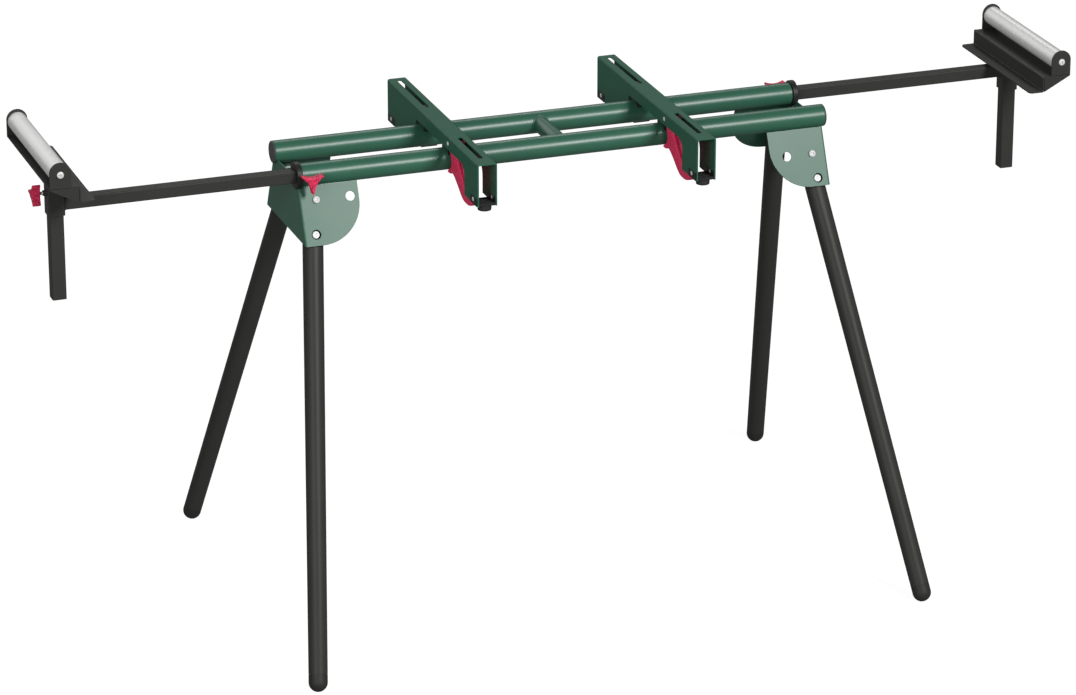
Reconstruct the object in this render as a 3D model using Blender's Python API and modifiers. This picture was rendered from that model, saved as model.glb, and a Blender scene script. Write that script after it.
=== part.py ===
# Miter saw stand: two parallel tubes on four folding legs, two sliding saw brackets
# and two pull-out arms, each with a height-adjustable roller head.
# Metres, +Z up, the stand's centre line at x = 0, y = 0, feet on z = 0, user's side at -Y.
import math

import bmesh
import bpy
from mathutils import Matrix, Vector

for old in list(bpy.data.objects):
    bpy.data.objects.remove(old, do_unlink=True)

# clearances and cutters
GAP = 0.0003            # between touching pieces
SLIDE_GAP = 0.0004      # round a piece that slides in another
BITE = 0.0010           # how far welded or moulded forms reach into each other
FAR = 0.7000            # reach of a cutter that passes right through
SMALL_EDGE = 0.0012     # broken edges of turned and moulded pieces
STEEL_EDGE = 0.0015     # rounded corners of the square tubes

# main tubes, collars, caps and the cross tube
TUBE_R = 0.0200
TUBE_WALL = 0.0020
TUBE_Y = 0.0668         # each tube's axis from the centre plane
TUBE_Z = 0.8242         # height of the tube axes
TUBE_END = 0.4958       # outer face of the end caps from the centre
COLLAR_IN = 0.0010      # collar's face behind the caps' face
COLLAR_R = 0.0240
COLLAR_LONG = 0.0100
SPIGOT_LONG = 0.0300
CAP_THICK = 0.0030
CAP_SPIGOT = 0.0120
CAP_WALL = 0.0020
CROSS_R = 0.0150
CROSS_WALL = 0.0020

# arms, sleeves and posts
ARM_OUT = 0.4256        # collar's face to the post's axis
BAR = 0.0220
BAR_WALL = 0.0020
BAR_LONG = 0.8000
POST = 0.0250
POST_WALL = 0.0020
SLEEVE_WALL = 0.0020
SLEEVE_LONG = 0.0567
SLEEVE_LOW = 0.0192     # bar's axis down to the sleeve's near end
CLAMP_RISE = 0.0205     # bar's axis up to the clamp stud's axis

# clamp knobs and their weld bosses
STUD_R = 0.0030
BOSS_R = 0.0050
BOSS_LONG = 0.0055
KNOB_TIP = 0.0214       # reach of each wing
KNOB_TIP_HALF = 0.0019  # half width of each wing's tip
KNOB_VALLEY = 0.0080    # middle of each hollow side from the knob's axis
KNOB_THICK = 0.0146
KNOB_HUB_R = 0.0070
KNOB_HUB_LONG = 0.0160
KNOB_OFF = 0.0107       # clamped face to the knob's hub
KNOB_IN = 0.0216        # tube knob's axis behind the collar's face
KNOB_DROP = 0.0010      # tube knob's axis below the tube's axis

# roller heads, measured from the roller's axis; u runs outward from the post
SHEET = 0.0025
ROLLER_R = 0.0170
ROLLER_RISE = (0.0883, 0.0708)   # left and right roller above the tube axes
ROLLER_U = 0.0147
ROLLER_GAP = 0.0012     # roller's end to the end plate
HEAD_LONG = 0.3040      # over the end plates
HEAD_SHIFT = 0.0435     # head's middle from the post, towards the centre plane
POST_DROP = 0.2602      # down to the post's lower end
DECK_DROP = 0.0248
ARCH_HALF = 0.0186
ARCH_TOP = 0.0212
RISER_U = -0.0176
LEDGE_DROP = 0.0519
LEDGE_U = -0.0456
LEDGE_ROUND = 0.0080
SCREW_R = 0.0030
SCREW_LONG = 0.0170
PAN_R = 0.0062
PAN_HIGH = 0.0040

# saw brackets
BRACKET_X = (-0.2040, 0.1993)    # left and right saw bracket
BRACKET_WIDE = 0.0355
BRACKET_HALF = 0.2515
BRACKET_RISE = 0.0477   # roof above the tube axes
WINDOW_RISE = 0.0238    # walls' lower edge between the two feet
FOOT_DROP = 0.0297      # walls' lower edge at both feet, below the tube axes
FRONT_FOOT = 0.0715     # length of the front foot
REAR_FOOT = 0.1625
FOOT_CURVE = (0.0180, 0.0230)    # fillet of the front foot, along and up
FOOT_CHAMFER = 0.0040
SLOT_WIDE = 0.0085
FRONT_SLOT = (0.0345, 0.1495)    # from the front end
REAR_SLOT = (0.0135, 0.1738)     # from the rear end
INSERT_LONG = 0.0360
INSERT_HIGH = 0.0135
INSERT_LIP = 0.0025     # bare strip of wall beyond each insert
INSERT_PROUD = 0.0010
INSERT_FLOOR = 0.0030
INSERT_BACK = 0.0035    # floor shorter than the side bands
STUD_HEAD_R = 0.0040    # rivet heads on the inserts
STUD_HEAD_HIGH = 0.0010
STUD_HEAD_IN = 0.0225   # from the bracket's end
STUD_HEAD_RISE = 0.0088
PAD_R = 0.0122
PAD_IN = 0.0165         # pad's axis from the bracket's front end
PAD_HIGH = 0.0105
PAD_STEM_R = 0.0040
LINER = 0.0030          # strip under the channel's roof
SADDLE_HALF = 0.0170
HOOK_LONG = 0.0300      # rear hook behind the tube's axis
HOOK_LIP = 0.0030

# clamp levers, measured from the front tube's axis
PIN_OUT = 0.0262        # pin's axis in front of the tube's axis
PIN_UNDER = 0.0119      # pin's axis below the bracket's roof
PIN_R = 0.0025
PIN_HEAD_R = 0.0040
PIN_HEAD_HIGH = 0.0022
EYE_R = 0.0060
LEVER_TAPER = 0.0700    # each side comes in by this share of the way forward
LEVER_RIB = 0.0032
LEVER_RECESS = 0.0026
FORK_HALF = 0.0085      # half width of the gap between the two eyes
FORK_DEEP = 0.0175      # gap's foot below the pin

# leg brackets
PANEL_IN = 0.0045       # panel's face behind the caps' face
PLATE = 0.0020
PANEL_DROP = 0.1148     # panel's lower edge below the tube axes
PANEL_SINK = 0.0082     # panel's upper edge below the tube axes
PANEL_HALF = 0.1192     # half width of the panel's lower edge
CHEEK_MISS = 0.00121    # cheek's plane past the tube's axis
CHEEK_WIDE = 0.1073
CHEEK_ARC_R = 0.0740
HOLE_R = 0.0085
SPARE_IN = (0.0919, 0.0750)      # spare hole from the panel's face, left and right
SPY_R = 0.0016
SPY_Y = 0.0408
SPY_DROP = 0.0154

# legs, pivots and lock buttons, heights measured up the cheek's slope
LEG_IN = 0.0248         # leg axis inside the cheek's outer plane
LEG_INSET = 0.0195      # leg axis at the cheek's foot from the panel's face
LEG_SPLAY = math.atan(0.1283)
LEG_FOOT_R = 0.0167
LEG_TOP_R = 0.0185
LEG_WALL = 0.0020
LEG_FLAT = 0.0170       # flats at the pivot, from the leg's axis
LEG_FLAT_LONG = 0.0140
LEG_PLUG = 0.0300       # closed length below the pivot
CAP_SLEEVE = 0.0140
CAP_STEM = 0.0150
PIVOT_UP = (0.0801, 0.0588)      # left and right bracket
BUTTON_UP = (0.0198, 0.0147)
BUTTON_R = 0.0065
BUTTON_LONG = 0.0130
RIVET_R = 0.0040
RIVET_HEAD_R = 0.0065
RIVET_HEAD_HIGH = 0.0042
SHOULDER_R = 0.0090

# places that follow from the sizes above
COLLAR_END = TUBE_END - COLLAR_IN
PANEL_X = TUBE_END - PANEL_IN
POST_X = COLLAR_END + ARM_OUT
PANEL_LOW = TUBE_Z - PANEL_DROP
CHEEK_TILT = math.atan((PANEL_HALF - TUBE_Y - CHEEK_MISS) / PANEL_DROP)
TUBE_BORE = TUBE_R - TUBE_WALL
SPIGOT_R = TUBE_BORE - GAP
SEAT_R = TUBE_R + GAP
STUD_WAY = STUD_R + GAP
HALF_POST = POST / 2
HALF_SLEEVE = HALF_POST + SLIDE_GAP + SLEEVE_WALL
ROOF = TUBE_Z + BRACKET_RISE
FOOT = TUBE_Z - FOOT_DROP
PIN_Y = -TUBE_Y - PIN_OUT
PIN_Z = ROOF - PIN_UNDER

# collections and materials
stand = bpy.data.collections.new("miter_saw_stand")
tools = bpy.data.collections.new("cutters")
bpy.context.scene.collection.children.link(stand)
bpy.context.scene.collection.children.link(tools)

GREEN = ((0.020, 0.085, 0.055, 1), 0.35, 0.0)
BLACK_PAINT = ((0.022, 0.022, 0.021, 1), 0.55, 0.0)
BLACK_PLASTIC = ((0.012, 0.012, 0.012, 1), 0.60, 0.0)
RUBBER = ((0.015, 0.015, 0.015, 1), 0.80, 0.0)
RED = ((0.75, 0.020, 0.090, 1), 0.45, 0.0)
ALUMINIUM = ((0.70, 0.70, 0.69, 1), 0.35, 1.0)
ZINC = ((0.75, 0.75, 0.76, 1), 0.25, 1.0)


def paint(obj, finish):
    colour, rough, metal = finish
    mat = bpy.data.materials.new(obj.name + "_finish")
    mat.use_nodes = True
    shader = mat.node_tree.nodes["Principled BSDF"]
    shader.inputs["Base Color"].default_value = colour
    shader.inputs["Roughness"].default_value = rough
    shader.inputs["Metallic"].default_value = metal
    obj.data.materials.clear()
    obj.data.materials.append(mat)
    return obj


# placing and parenting
def put(obj, home, place):
    home.objects.link(obj)
    obj.matrix_world = place
    if home is tools:
        obj.hide_render = True
        obj.display_type = "WIRE"
    return obj


def pivot(name, place, parent=None):
    empty = bpy.data.objects.new(name, None)
    empty.empty_display_size = 0.03
    stand.objects.link(empty)
    empty.matrix_world = place
    if parent is not None:
        attach(empty, parent)
    return empty


def attach(obj, parent):
    bpy.context.view_layer.update()
    world = obj.matrix_world.copy()
    obj.parent = parent
    obj.matrix_parent_inverse = parent.matrix_world.inverted()
    obj.matrix_world = world
    return obj


# basic forms
def shade(obj):
    obj.data.shade_smooth()
    obj.data.set_sharp_from_angle(angle=math.radians(32))
    return obj


def box(name, low, high, home=tools, place=Matrix()):
    low, high = Vector(low), Vector(high)
    bm = bmesh.new()
    bmesh.ops.create_cube(bm, size=1.0)
    bmesh.ops.scale(bm, vec=high - low, verts=bm.verts)
    mesh = bpy.data.meshes.new(name)
    bm.to_mesh(mesh)
    bm.free()
    middle = Matrix.Translation((low + high) / 2)
    return put(bpy.data.objects.new(name, mesh), home, place @ middle)


def rod(name, radius, start, end, home=tools, place=Matrix(), sides=24):
    start, end = Vector(start), Vector(end)
    run = end - start
    bm = bmesh.new()
    bmesh.ops.create_cone(bm, cap_ends=True, segments=sides, radius1=radius, radius2=radius,
                          depth=run.length)
    mesh = bpy.data.meshes.new(name)
    bm.to_mesh(mesh)
    bm.free()
    turn = Vector((0, 0, 1)).rotation_difference(run.normalized()).to_matrix().to_4x4()
    middle = Matrix.Translation((start + end) / 2)
    return shade(put(bpy.data.objects.new(name, mesh), home, place @ middle @ turn))


def as_mesh(obj, home):
    bpy.context.view_layer.update()
    graph = bpy.context.evaluated_depsgraph_get()
    mesh = bpy.data.meshes.new_from_object(obj.evaluated_get(graph))
    mesh.materials.clear()
    bm = bmesh.new()
    bm.from_mesh(mesh)
    bmesh.ops.remove_doubles(bm, verts=bm.verts, dist=1e-6)
    bmesh.ops.dissolve_limit(bm, angle_limit=0.002, verts=bm.verts, edges=bm.edges)
    bmesh.ops.recalc_face_normals(bm, faces=bm.faces)
    bm.to_mesh(mesh)
    bm.free()
    name = obj.name
    place = obj.matrix_world.copy()
    bpy.data.objects.remove(obj, do_unlink=True)
    return put(bpy.data.objects.new(name, mesh), home, place)


def pipe(name, radius, start, end, home=tools, place=Matrix()):
    curve = bpy.data.curves.new(name, "CURVE")
    curve.dimensions = "3D"
    curve.bevel_depth = radius
    curve.bevel_resolution = 10
    curve.use_fill_caps = True
    spline = curve.splines.new("POLY")
    spline.points.add(1)
    spline.points[0].co = (*start, 1)
    spline.points[1].co = (*end, 1)
    obj = put(bpy.data.objects.new(name, curve), home, place)
    return shade(as_mesh(obj, home))


PLANE = {
    "YZ": Matrix(((0, 0, 1, 0), (1, 0, 0, 0), (0, 1, 0, 0), (0, 0, 0, 1))),
    "XZ": Matrix.Rotation(math.pi / 2, 4, "X"),
    "XY": Matrix(),
}


def outline(name, points, thick, plane="XY", offset=(0, 0, 0), home=tools, place=Matrix()):
    curve = bpy.data.curves.new(name, "CURVE")
    curve.dimensions = "2D"
    curve.fill_mode = "BOTH"
    curve.extrude = thick / 2
    spline = curve.splines.new("POLY")
    spline.points.add(len(points) - 1)
    for point, (across, up) in zip(spline.points, points):
        point.co = (across, up, 0, 1)
    spline.use_cyclic_u = True
    spot = place @ Matrix.Translation(offset) @ PLANE[plane]
    return as_mesh(put(bpy.data.objects.new(name, curve), home, spot), home)


def turned(name, profile, home=tools, place=Matrix(), steps=24):
    mesh = bpy.data.meshes.new(name)
    edges = [(i, i + 1) for i in range(len(profile) - 1)]
    mesh.from_pydata([(r, 0, z) for r, z in profile], edges, [])
    obj = put(bpy.data.objects.new(name, mesh), home, place)
    screw = obj.modifiers.new("turn", "SCREW")
    screw.steps = steps
    screw.render_steps = steps
    screw.use_merge_vertices = True
    screw.merge_threshold = 0.00001
    screw.use_smooth_shade = False
    return shade(as_mesh(obj, home))


def arc(across, up, radius, first, last, count, radius_up=None):
    points = []
    for i in range(count + 1):
        angle = math.radians(first + (last - first) * i / count)
        points.append((across + radius * math.cos(angle),
                       up + (radius_up or radius) * math.sin(angle)))
    return points


def dome(radius, foot, top):
    # profile of a domed head, from its middle out to its rim
    return [(radius * math.sin(a), foot + (top - foot) * math.cos(a))
            for a in (0, math.pi / 6, math.pi / 3, math.pi / 2)]


def cut(target, *others):
    for other in others:
        mod = target.modifiers.new("cut", "BOOLEAN")
        mod.operation = "DIFFERENCE"
        mod.solver = "EXACT"
        mod.object = other
    return target


def join(target, *others):
    for other in others:
        mod = target.modifiers.new("join", "BOOLEAN")
        mod.operation = "UNION"
        mod.solver = "EXACT"
        mod.object = other
    return target


def round_edges(obj, width):
    mod = obj.modifiers.new("edges", "BEVEL")
    mod.width = width
    mod.segments = 1
    mod.limit_method = "ANGLE"
    mod.angle_limit = math.radians(40)
    return obj


# the stand's two halves are alike after half a turn; the right arm is also turned over
LEFT = Matrix()
RIGHT = Matrix.Rotation(math.pi, 4, "Z")
OVER = (Matrix.Translation((0, -TUBE_Y, TUBE_Z)) @ Matrix.Rotation(math.pi, 4, "X")
        @ Matrix.Translation((0, TUBE_Y, -TUBE_Z)))
TURN_X = Matrix.Rotation(math.pi / 2, 4, "Y")
TURN_Y = Matrix.Rotation(-math.pi / 2, 4, "X")
root = pivot("stand_frame", Matrix())
collar_face = COLLAR_LONG - COLLAR_END
cap_face = TUBE_END - CAP_THICK
knob_x = KNOB_IN - COLLAR_END
knob_z = TUBE_Z - KNOB_DROP


def front(x):
    return (x, -TUBE_Y, TUBE_Z)


# main tubes with their weld bosses
def stud_hole(side, place):
    return rod(side + "_tube_stud_hole", STUD_WAY, (knob_x, -TUBE_Y - FAR, knob_z),
               (knob_x, -TUBE_Y, knob_z), tools, place, 16)


def main_tube(side, place):
    tube = pipe(side + "_tube", TUBE_R, front(collar_face + GAP), front(cap_face - GAP), stand, place)
    bore = rod(side + "_tube_bore", TUBE_BORE, front(-FAR), front(FAR), tools, place)
    face = -TUBE_Y - TUBE_R
    boss = rod(side + "_tube_boss", BOSS_R, (knob_x, face + TUBE_WALL, knob_z),
               (knob_x, face - BOSS_LONG, knob_z), tools, place)
    join(tube, boss)
    cut(tube, bore, stud_hole(side, place))
    attach(paint(tube, GREEN), root)


# collar: ring outside the tube, spigot inside, square window for the bar
def tube_collar(side, place):
    collar = rod(side + "_tube_collar", COLLAR_R, front(-COLLAR_END), front(collar_face), stand, place)
    round_edges(collar, SMALL_EDGE)
    spigot = rod(side + "_collar_spigot", SPIGOT_R, front(collar_face - BITE),
                 front(collar_face + SPIGOT_LONG), tools, place)
    half = BAR / 2 + SLIDE_GAP
    window = box(side + "_collar_window", (-FAR, -TUBE_Y - half, TUBE_Z - half),
                 (0, -TUBE_Y + half, TUBE_Z + half), tools, place)
    join(collar, spigot)
    cut(collar, window, stud_hole(side + "_collar", place))
    attach(paint(collar, BLACK_PLASTIC), root)


def tube_cap(side, place):
    deep = CAP_THICK + CAP_SPIGOT
    cup = SPIGOT_R - CAP_WALL
    cap = turned(side + "_tube_cap", [
        (0, 0), (TUBE_R - SMALL_EDGE, 0), (TUBE_R, -SMALL_EDGE), (TUBE_R, -CAP_THICK),
        (SPIGOT_R, -CAP_THICK), (SPIGOT_R, -deep), (cup, -deep), (cup, -CAP_THICK), (0, -CAP_THICK)],
        stand, place @ Matrix.Translation(front(TUBE_END)) @ TURN_X)
    attach(paint(cap, BLACK_PLASTIC), root)


def cross_tube():
    cross = pipe("cross_tube", CROSS_R, (0, -TUBE_Y, TUBE_Z), (0, TUBE_Y, TUBE_Z), stand)
    bore = rod("cross_tube_bore", CROSS_R - CROSS_WALL, (0, -TUBE_Y - BITE, TUBE_Z),
               (0, TUBE_Y + BITE, TUBE_Z))
    saddles = [rod("cross_saddle", SEAT_R, (-FAR, y, TUBE_Z), (FAR, y, TUBE_Z)) for y in (-TUBE_Y, TUBE_Y)]
    cut(cross, bore, *saddles)
    attach(paint(cross, GREEN), root)


for side, place in (("front", LEFT), ("rear", RIGHT)):
    main_tube(side, place)
    tube_collar(side, place)
    tube_cap(side, place)
cross_tube()


# clamp knob: three blunt wings with hollow sides, moulded on its stud; on the tubes one
# wing points down, on the sleeves one points to the middle of the stand's depth
def wings():
    third = Matrix.Rotation(math.radians(120), 2)
    tip = Vector((KNOB_TIP_HALF, -KNOB_TIP))
    next_tip = third @ Vector((-KNOB_TIP_HALF, -KNOB_TIP))
    middle = (tip + next_tip) / 2
    hollow = middle.normalized() * KNOB_VALLEY - middle
    side = []
    for i in range(7):
        share = i / 6
        side.append(tip.lerp(next_tip, share) + hollow * 4 * share * (1 - share))
    points = []
    for wing in range(3):
        points += [tuple(point) for point in side]
        side = [third @ point for point in side]
    return points


def knob(name, face, stud_from, place):
    # the knob's own axis is local +Z, its hub starts at z = face
    body = outline(name, wings(), KNOB_THICK, "XY", (0, 0, face + KNOB_HUB_LONG / 2), stand, place)
    round_edges(body, SMALL_EDGE)
    hub = rod(name + "_hub", KNOB_HUB_R, (0, 0, face), (0, 0, face + KNOB_HUB_LONG), tools, place, 16)
    stud = rod(name + "_stud", STUD_R, (0, 0, stud_from), (0, 0, face + BITE), tools, place, 12)
    join(body, hub, stud)
    return paint(body, RED)


def tube_knob(name, place):
    spot = place @ Matrix.Translation((knob_x, -TUBE_Y, knob_z)) @ Matrix.Rotation(math.pi / 2, 4, "X")
    turn = pivot(name + "_axis", spot, root)
    attach(knob(name, TUBE_R - GAP + KNOB_OFF, BAR / 2 + GAP, spot), turn)


# arms: bar, sleeve with its weld boss, and the knob that clamps the post
clamp_z = TUBE_Z + CLAMP_RISE


def square(name, x_from, x_to, half, home, place):
    return box(name, (x_from, -TUBE_Y - half, TUBE_Z - half), (x_to, -TUBE_Y + half, TUBE_Z + half),
               home, place)


def upright(name, half, low, high, home, place):
    return box(name, (-POST_X - half, -TUBE_Y - half, low), (-POST_X + half, -TUBE_Y + half, high),
               home, place)


def arm_bar(side, place, arm):
    start = -POST_X + HALF_SLEEVE + GAP
    bar = square(side + "_arm_bar", start, start + BAR_LONG, BAR / 2, stand, place)
    round_edges(bar, STEEL_EDGE)
    bore = square(side + "_bar_bore", start - BITE, start + BAR_LONG + BITE, BAR / 2 - BAR_WALL, tools, place)
    attach(paint(cut(bar, bore), BLACK_PAINT), arm)


def arm_sleeve(side, place, arm):
    low = TUBE_Z - SLEEVE_LOW
    high = low + SLEEVE_LONG
    sleeve = upright(side + "_arm_sleeve", HALF_SLEEVE, low, high, stand, place)
    round_edges(sleeve, STEEL_EDGE)
    bore = upright(side + "_sleeve_bore", HALF_POST + SLIDE_GAP, low - BITE, high + BITE, tools, place)
    face = -POST_X - HALF_SLEEVE
    boss = rod(side + "_sleeve_boss", BOSS_R, (face + BITE, -TUBE_Y, clamp_z),
               (face - BOSS_LONG, -TUBE_Y, clamp_z), tools, place)
    way = rod(side + "_sleeve_stud_hole", STUD_WAY, (face - BOSS_LONG - BITE, -TUBE_Y, clamp_z),
              (-POST_X, -TUBE_Y, clamp_z), tools, place, 16)
    join(sleeve, boss)
    cut(sleeve, bore, way)
    attach(paint(sleeve, BLACK_PAINT), arm)


def sleeve_knob(side, place, arm):
    spot = (place @ Matrix.Translation((-POST_X, -TUBE_Y, clamp_z))
            @ Matrix.Rotation(-math.pi / 2, 4, "Y") @ Matrix.Rotation(math.pi, 4, "Z"))
    turn = pivot(side + "_sleeve_knob_axis", spot, arm)
    attach(knob(side + "_sleeve_knob", HALF_SLEEVE + KNOB_OFF, HALF_POST + GAP, spot), turn)


# roller head, drawn round the roller's axis: local +X runs towards the centre of the stand
deck_top = -DECK_DROP
deck_low = deck_top - SHEET
ledge_top = -LEDGE_DROP
ledge_low = ledge_top - SHEET
roller_x = -ROLLER_U
edge_x = -(ROLLER_U + ARCH_HALF)
riser_out = -RISER_U
riser_in = riser_out + SHEET
ledge_x = -LEDGE_U


def head_post(side, place, axis_z, head):
    low = axis_z - POST_DROP
    high = axis_z + deck_low - GAP
    post = upright(side + "_head_post", HALF_POST, low, high, stand, place)
    round_edges(post, STEEL_EDGE)
    bore = upright(side + "_post_bore", HALF_POST - POST_WALL, low - BITE, high + BITE, tools, place)
    attach(paint(cut(post, bore), BLACK_PAINT), head)


def end_plate_points():
    skin = SHEET / 4
    points = arc(roller_x, ARCH_TOP - ARCH_HALF, ARCH_HALF, 0, 180, 14)
    points += [(edge_x, deck_low), (riser_in - skin, ledge_low + skin),
               (riser_in - skin, deck_top - skin), (roller_x + ARCH_HALF, deck_top - skin)]
    return points


def ledge_corner(name, end, spot):
    r = LEDGE_ROUND
    y = end * (HEAD_LONG - SHEET) / 2
    points = arc(ledge_x - r, y - end * r, r, end * 90, 0, 5)
    points += [(ledge_x + BITE, y - end * r), (ledge_x + BITE, y + end * BITE),
               (ledge_x - r, y + end * BITE)]
    return outline(name, points, 3 * SHEET, "XY", (0, 0, ledge_top - SHEET / 2), tools, spot)


def roller_frame(side, spot, head):
    strip_points = [(edge_x + BITE / 2, deck_top), (riser_in, deck_top), (riser_in, ledge_top),
                    (ledge_x, ledge_top), (ledge_x, ledge_low), (riser_out, ledge_low),
                    (riser_out, deck_low), (edge_x + BITE / 2, deck_low)]
    frame = outline(side + "_roller_frame", strip_points, HEAD_LONG - SHEET, "XZ", (0, 0, 0), stand, spot)
    plates = [outline(side + "_end_plate", end_plate_points(), SHEET, "XZ",
                      (0, end * (HEAD_LONG - SHEET) / 2, 0), tools, spot) for end in (-1, 1)]
    corners = [ledge_corner(side + "_ledge_corner", end, spot) for end in (-1, 1)]
    way = rod(side + "_screw_way", SCREW_R + GAP, (roller_x, -HEAD_LONG, 0), (roller_x, HEAD_LONG, 0),
              tools, spot, 16)
    cut(frame, *corners)
    join(frame, *plates)
    cut(frame, way)
    attach(paint(frame, BLACK_PAINT), head)


def roller(side, axis, spin):
    half = HEAD_LONG / 2 - SHEET - ROLLER_GAP
    bore = SCREW_R + GAP
    shoulder = ROLLER_R - SMALL_EDGE
    one = turned(side + "_roller", [
        (0, half - SCREW_LONG), (bore, half - SCREW_LONG), (bore, half), (shoulder, half),
        (ROLLER_R, half - SMALL_EDGE), (ROLLER_R, -half + SMALL_EDGE), (shoulder, -half),
        (bore, -half), (bore, -half + SCREW_LONG), (0, -half + SCREW_LONG)], stand, axis @ TURN_Y, 28)
    attach(paint(one, ALUMINIUM), spin)


def roller_screw(name, spot, head):
    # pan head outside the end plate, shank in the roller's bore
    shank = [(SCREW_R, GAP), (SCREW_R, -SCREW_LONG), (0, -SCREW_LONG)]
    screw = turned(name, dome(PAN_R, GAP, PAN_HIGH) + shank, stand, spot, 14)
    attach(paint(screw, ZINC), head)


def roller_head(side, place, rise, arm):
    head = pivot(side + "_head_slide", place @ Matrix.Translation(front(-POST_X)), arm)
    axis_z = TUBE_Z + rise
    head_post(side, place, axis_z, head)
    spot = place @ Matrix.Translation((-POST_X, HEAD_SHIFT - TUBE_Y, axis_z))
    roller_frame(side, spot, head)
    axis = spot @ Matrix.Translation((roller_x, 0, 0))
    roller(side, axis, pivot(side + "_roller_axis", axis, head))
    for tag, end in (("near", -1), ("far", 1)):
        turn = Matrix.Translation((0, end * HEAD_LONG / 2, 0)) @ Matrix.Rotation(-end * math.pi / 2, 4, "X")
        roller_screw(side + "_" + tag + "_roller_screw", axis @ turn, head)


for side, place, arm_place, rise in (("left", LEFT, LEFT, ROLLER_RISE[0]),
                                     ("right", RIGHT, RIGHT @ OVER, ROLLER_RISE[1])):
    arm = pivot(side + "_arm_slide", place @ Matrix.Translation(front(-COLLAR_END)), root)
    arm_bar(side, arm_place, arm)
    arm_sleeve(side, arm_place, arm)
    sleeve_knob(side, arm_place, arm)
    roller_head(side, place, rise, arm)
    tube_knob(("front" if side == "left" else "rear") + "_tube_knob", place)


# saw bracket: a channel, open below, with deep feet at both ends and slots in its roof
HALF_WIDE = BRACKET_WIDE / 2
HALF_INNER = HALF_WIDE - SHEET
window_z = TUBE_Z + WINDOW_RISE
front_foot_y = FRONT_FOOT - BRACKET_HALF
rear_foot_y = BRACKET_HALF - REAR_FOOT


def saw_bracket(side, place, slide):
    end = BRACKET_HALF
    along, up = FOOT_CURVE
    wall = [(-end, ROOF), (-end, FOOT), (front_foot_y, FOOT)]
    wall += arc(front_foot_y + along, window_z - up, along, 180, 90, 5, up)
    wall += [(rear_foot_y - FOOT_CHAMFER, window_z), (rear_foot_y, window_z - FOOT_CHAMFER),
             (rear_foot_y, FOOT), (end, FOOT), (end, ROOF)]
    channel = outline(side + "_saw_bracket", wall, BRACKET_WIDE, "YZ", (0, 0, 0), stand, place)
    trough = box(side + "_bracket_trough", (-HALF_INNER, -FAR, 0), (HALF_INNER, FAR, ROOF - SHEET),
                 tools, place)
    far_out = end - INSERT_LIP + GAP
    far_in = end - INSERT_LIP - INSERT_LONG - GAP
    notches = [box(side + "_notch", (-BRACKET_WIDE, min(sign * far_out, sign * far_in), 0),
                   (BRACKET_WIDE, max(sign * far_out, sign * far_in), FOOT + INSERT_HIGH + GAP), tools, place)
               for sign in (-1, 1)]
    spans = [(FRONT_SLOT[0] - end, FRONT_SLOT[1] - end), (end - REAR_SLOT[1], end - REAR_SLOT[0])]
    slots = [box(side + "_slot", (-SLOT_WIDE / 2, a, ROOF - 2 * SHEET), (SLOT_WIDE / 2, b, ROOF + SHEET),
                 tools, place) for a, b in spans]
    pin_way = rod(side + "_pin_way", PIN_R + GAP, (-BRACKET_WIDE, PIN_Y, PIN_Z), (BRACKET_WIDE, PIN_Y, PIN_Z),
                  tools, place, 16)
    cut(channel, trough, *notches, *slots, pin_way)
    attach(paint(channel, GREEN), slide)


# corner insert: two side bands with a rivet head on each, joined by a floor
def corner_insert(name, place, slide):
    front_y = INSERT_LIP - BRACKET_HALF
    back_y = front_y + INSERT_LONG
    wide = HALF_WIDE + INSERT_PROUD
    top = FOOT + INSERT_HIGH
    insert = box(name, (-wide, front_y, FOOT), (wide, back_y, top), stand, place)
    trough = box(name + "_trough", (-HALF_INNER, front_y - BITE, FOOT + INSERT_FLOOR),
                 (HALF_INNER, back_y + BITE, top + BITE), tools, place)
    back = box(name + "_back", (-HALF_INNER, back_y - INSERT_BACK, FOOT - BITE),
               (HALF_INNER, back_y + BITE, top + BITE), tools, place)
    stem_way = rod(name + "_stem_way", PAD_STEM_R + GAP, (0, PAD_IN - BRACKET_HALF, FOOT - BITE),
                   (0, PAD_IN - BRACKET_HALF, top), tools, place, 20)
    heads = []
    for sign in (-1, 1):
        spot = place @ Matrix.Translation((sign * wide, STUD_HEAD_IN - BRACKET_HALF, FOOT + STUD_HEAD_RISE))
        profile = dome(STUD_HEAD_R, 0, STUD_HEAD_HIGH) + [(STUD_HEAD_R, -BITE), (0, -BITE)]
        heads.append(turned(name + "_rivet_head", profile, tools,
                            spot @ Matrix.Rotation(sign * math.pi / 2, 4, "Y"), 14))
    cut(insert, trough, back, stem_way)
    join(insert, *heads)
    attach(paint(insert, BLACK_PLASTIC), slide)


def bracket_pad(side, place, slide):
    low = FOOT - PAD_HIGH
    pad = turned(side + "_bracket_pad", [
        (0, FOOT + INSERT_FLOOR), (PAD_STEM_R, FOOT + INSERT_FLOOR), (PAD_STEM_R, FOOT - GAP),
        (PAD_R, FOOT - GAP), (PAD_R, low + SMALL_EDGE), (PAD_R - SMALL_EDGE, low), (0, low)], stand,
        place @ Matrix.Translation((0, PAD_IN - BRACKET_HALF, 0)), 20)
    attach(paint(pad, RUBBER), slide)


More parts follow.
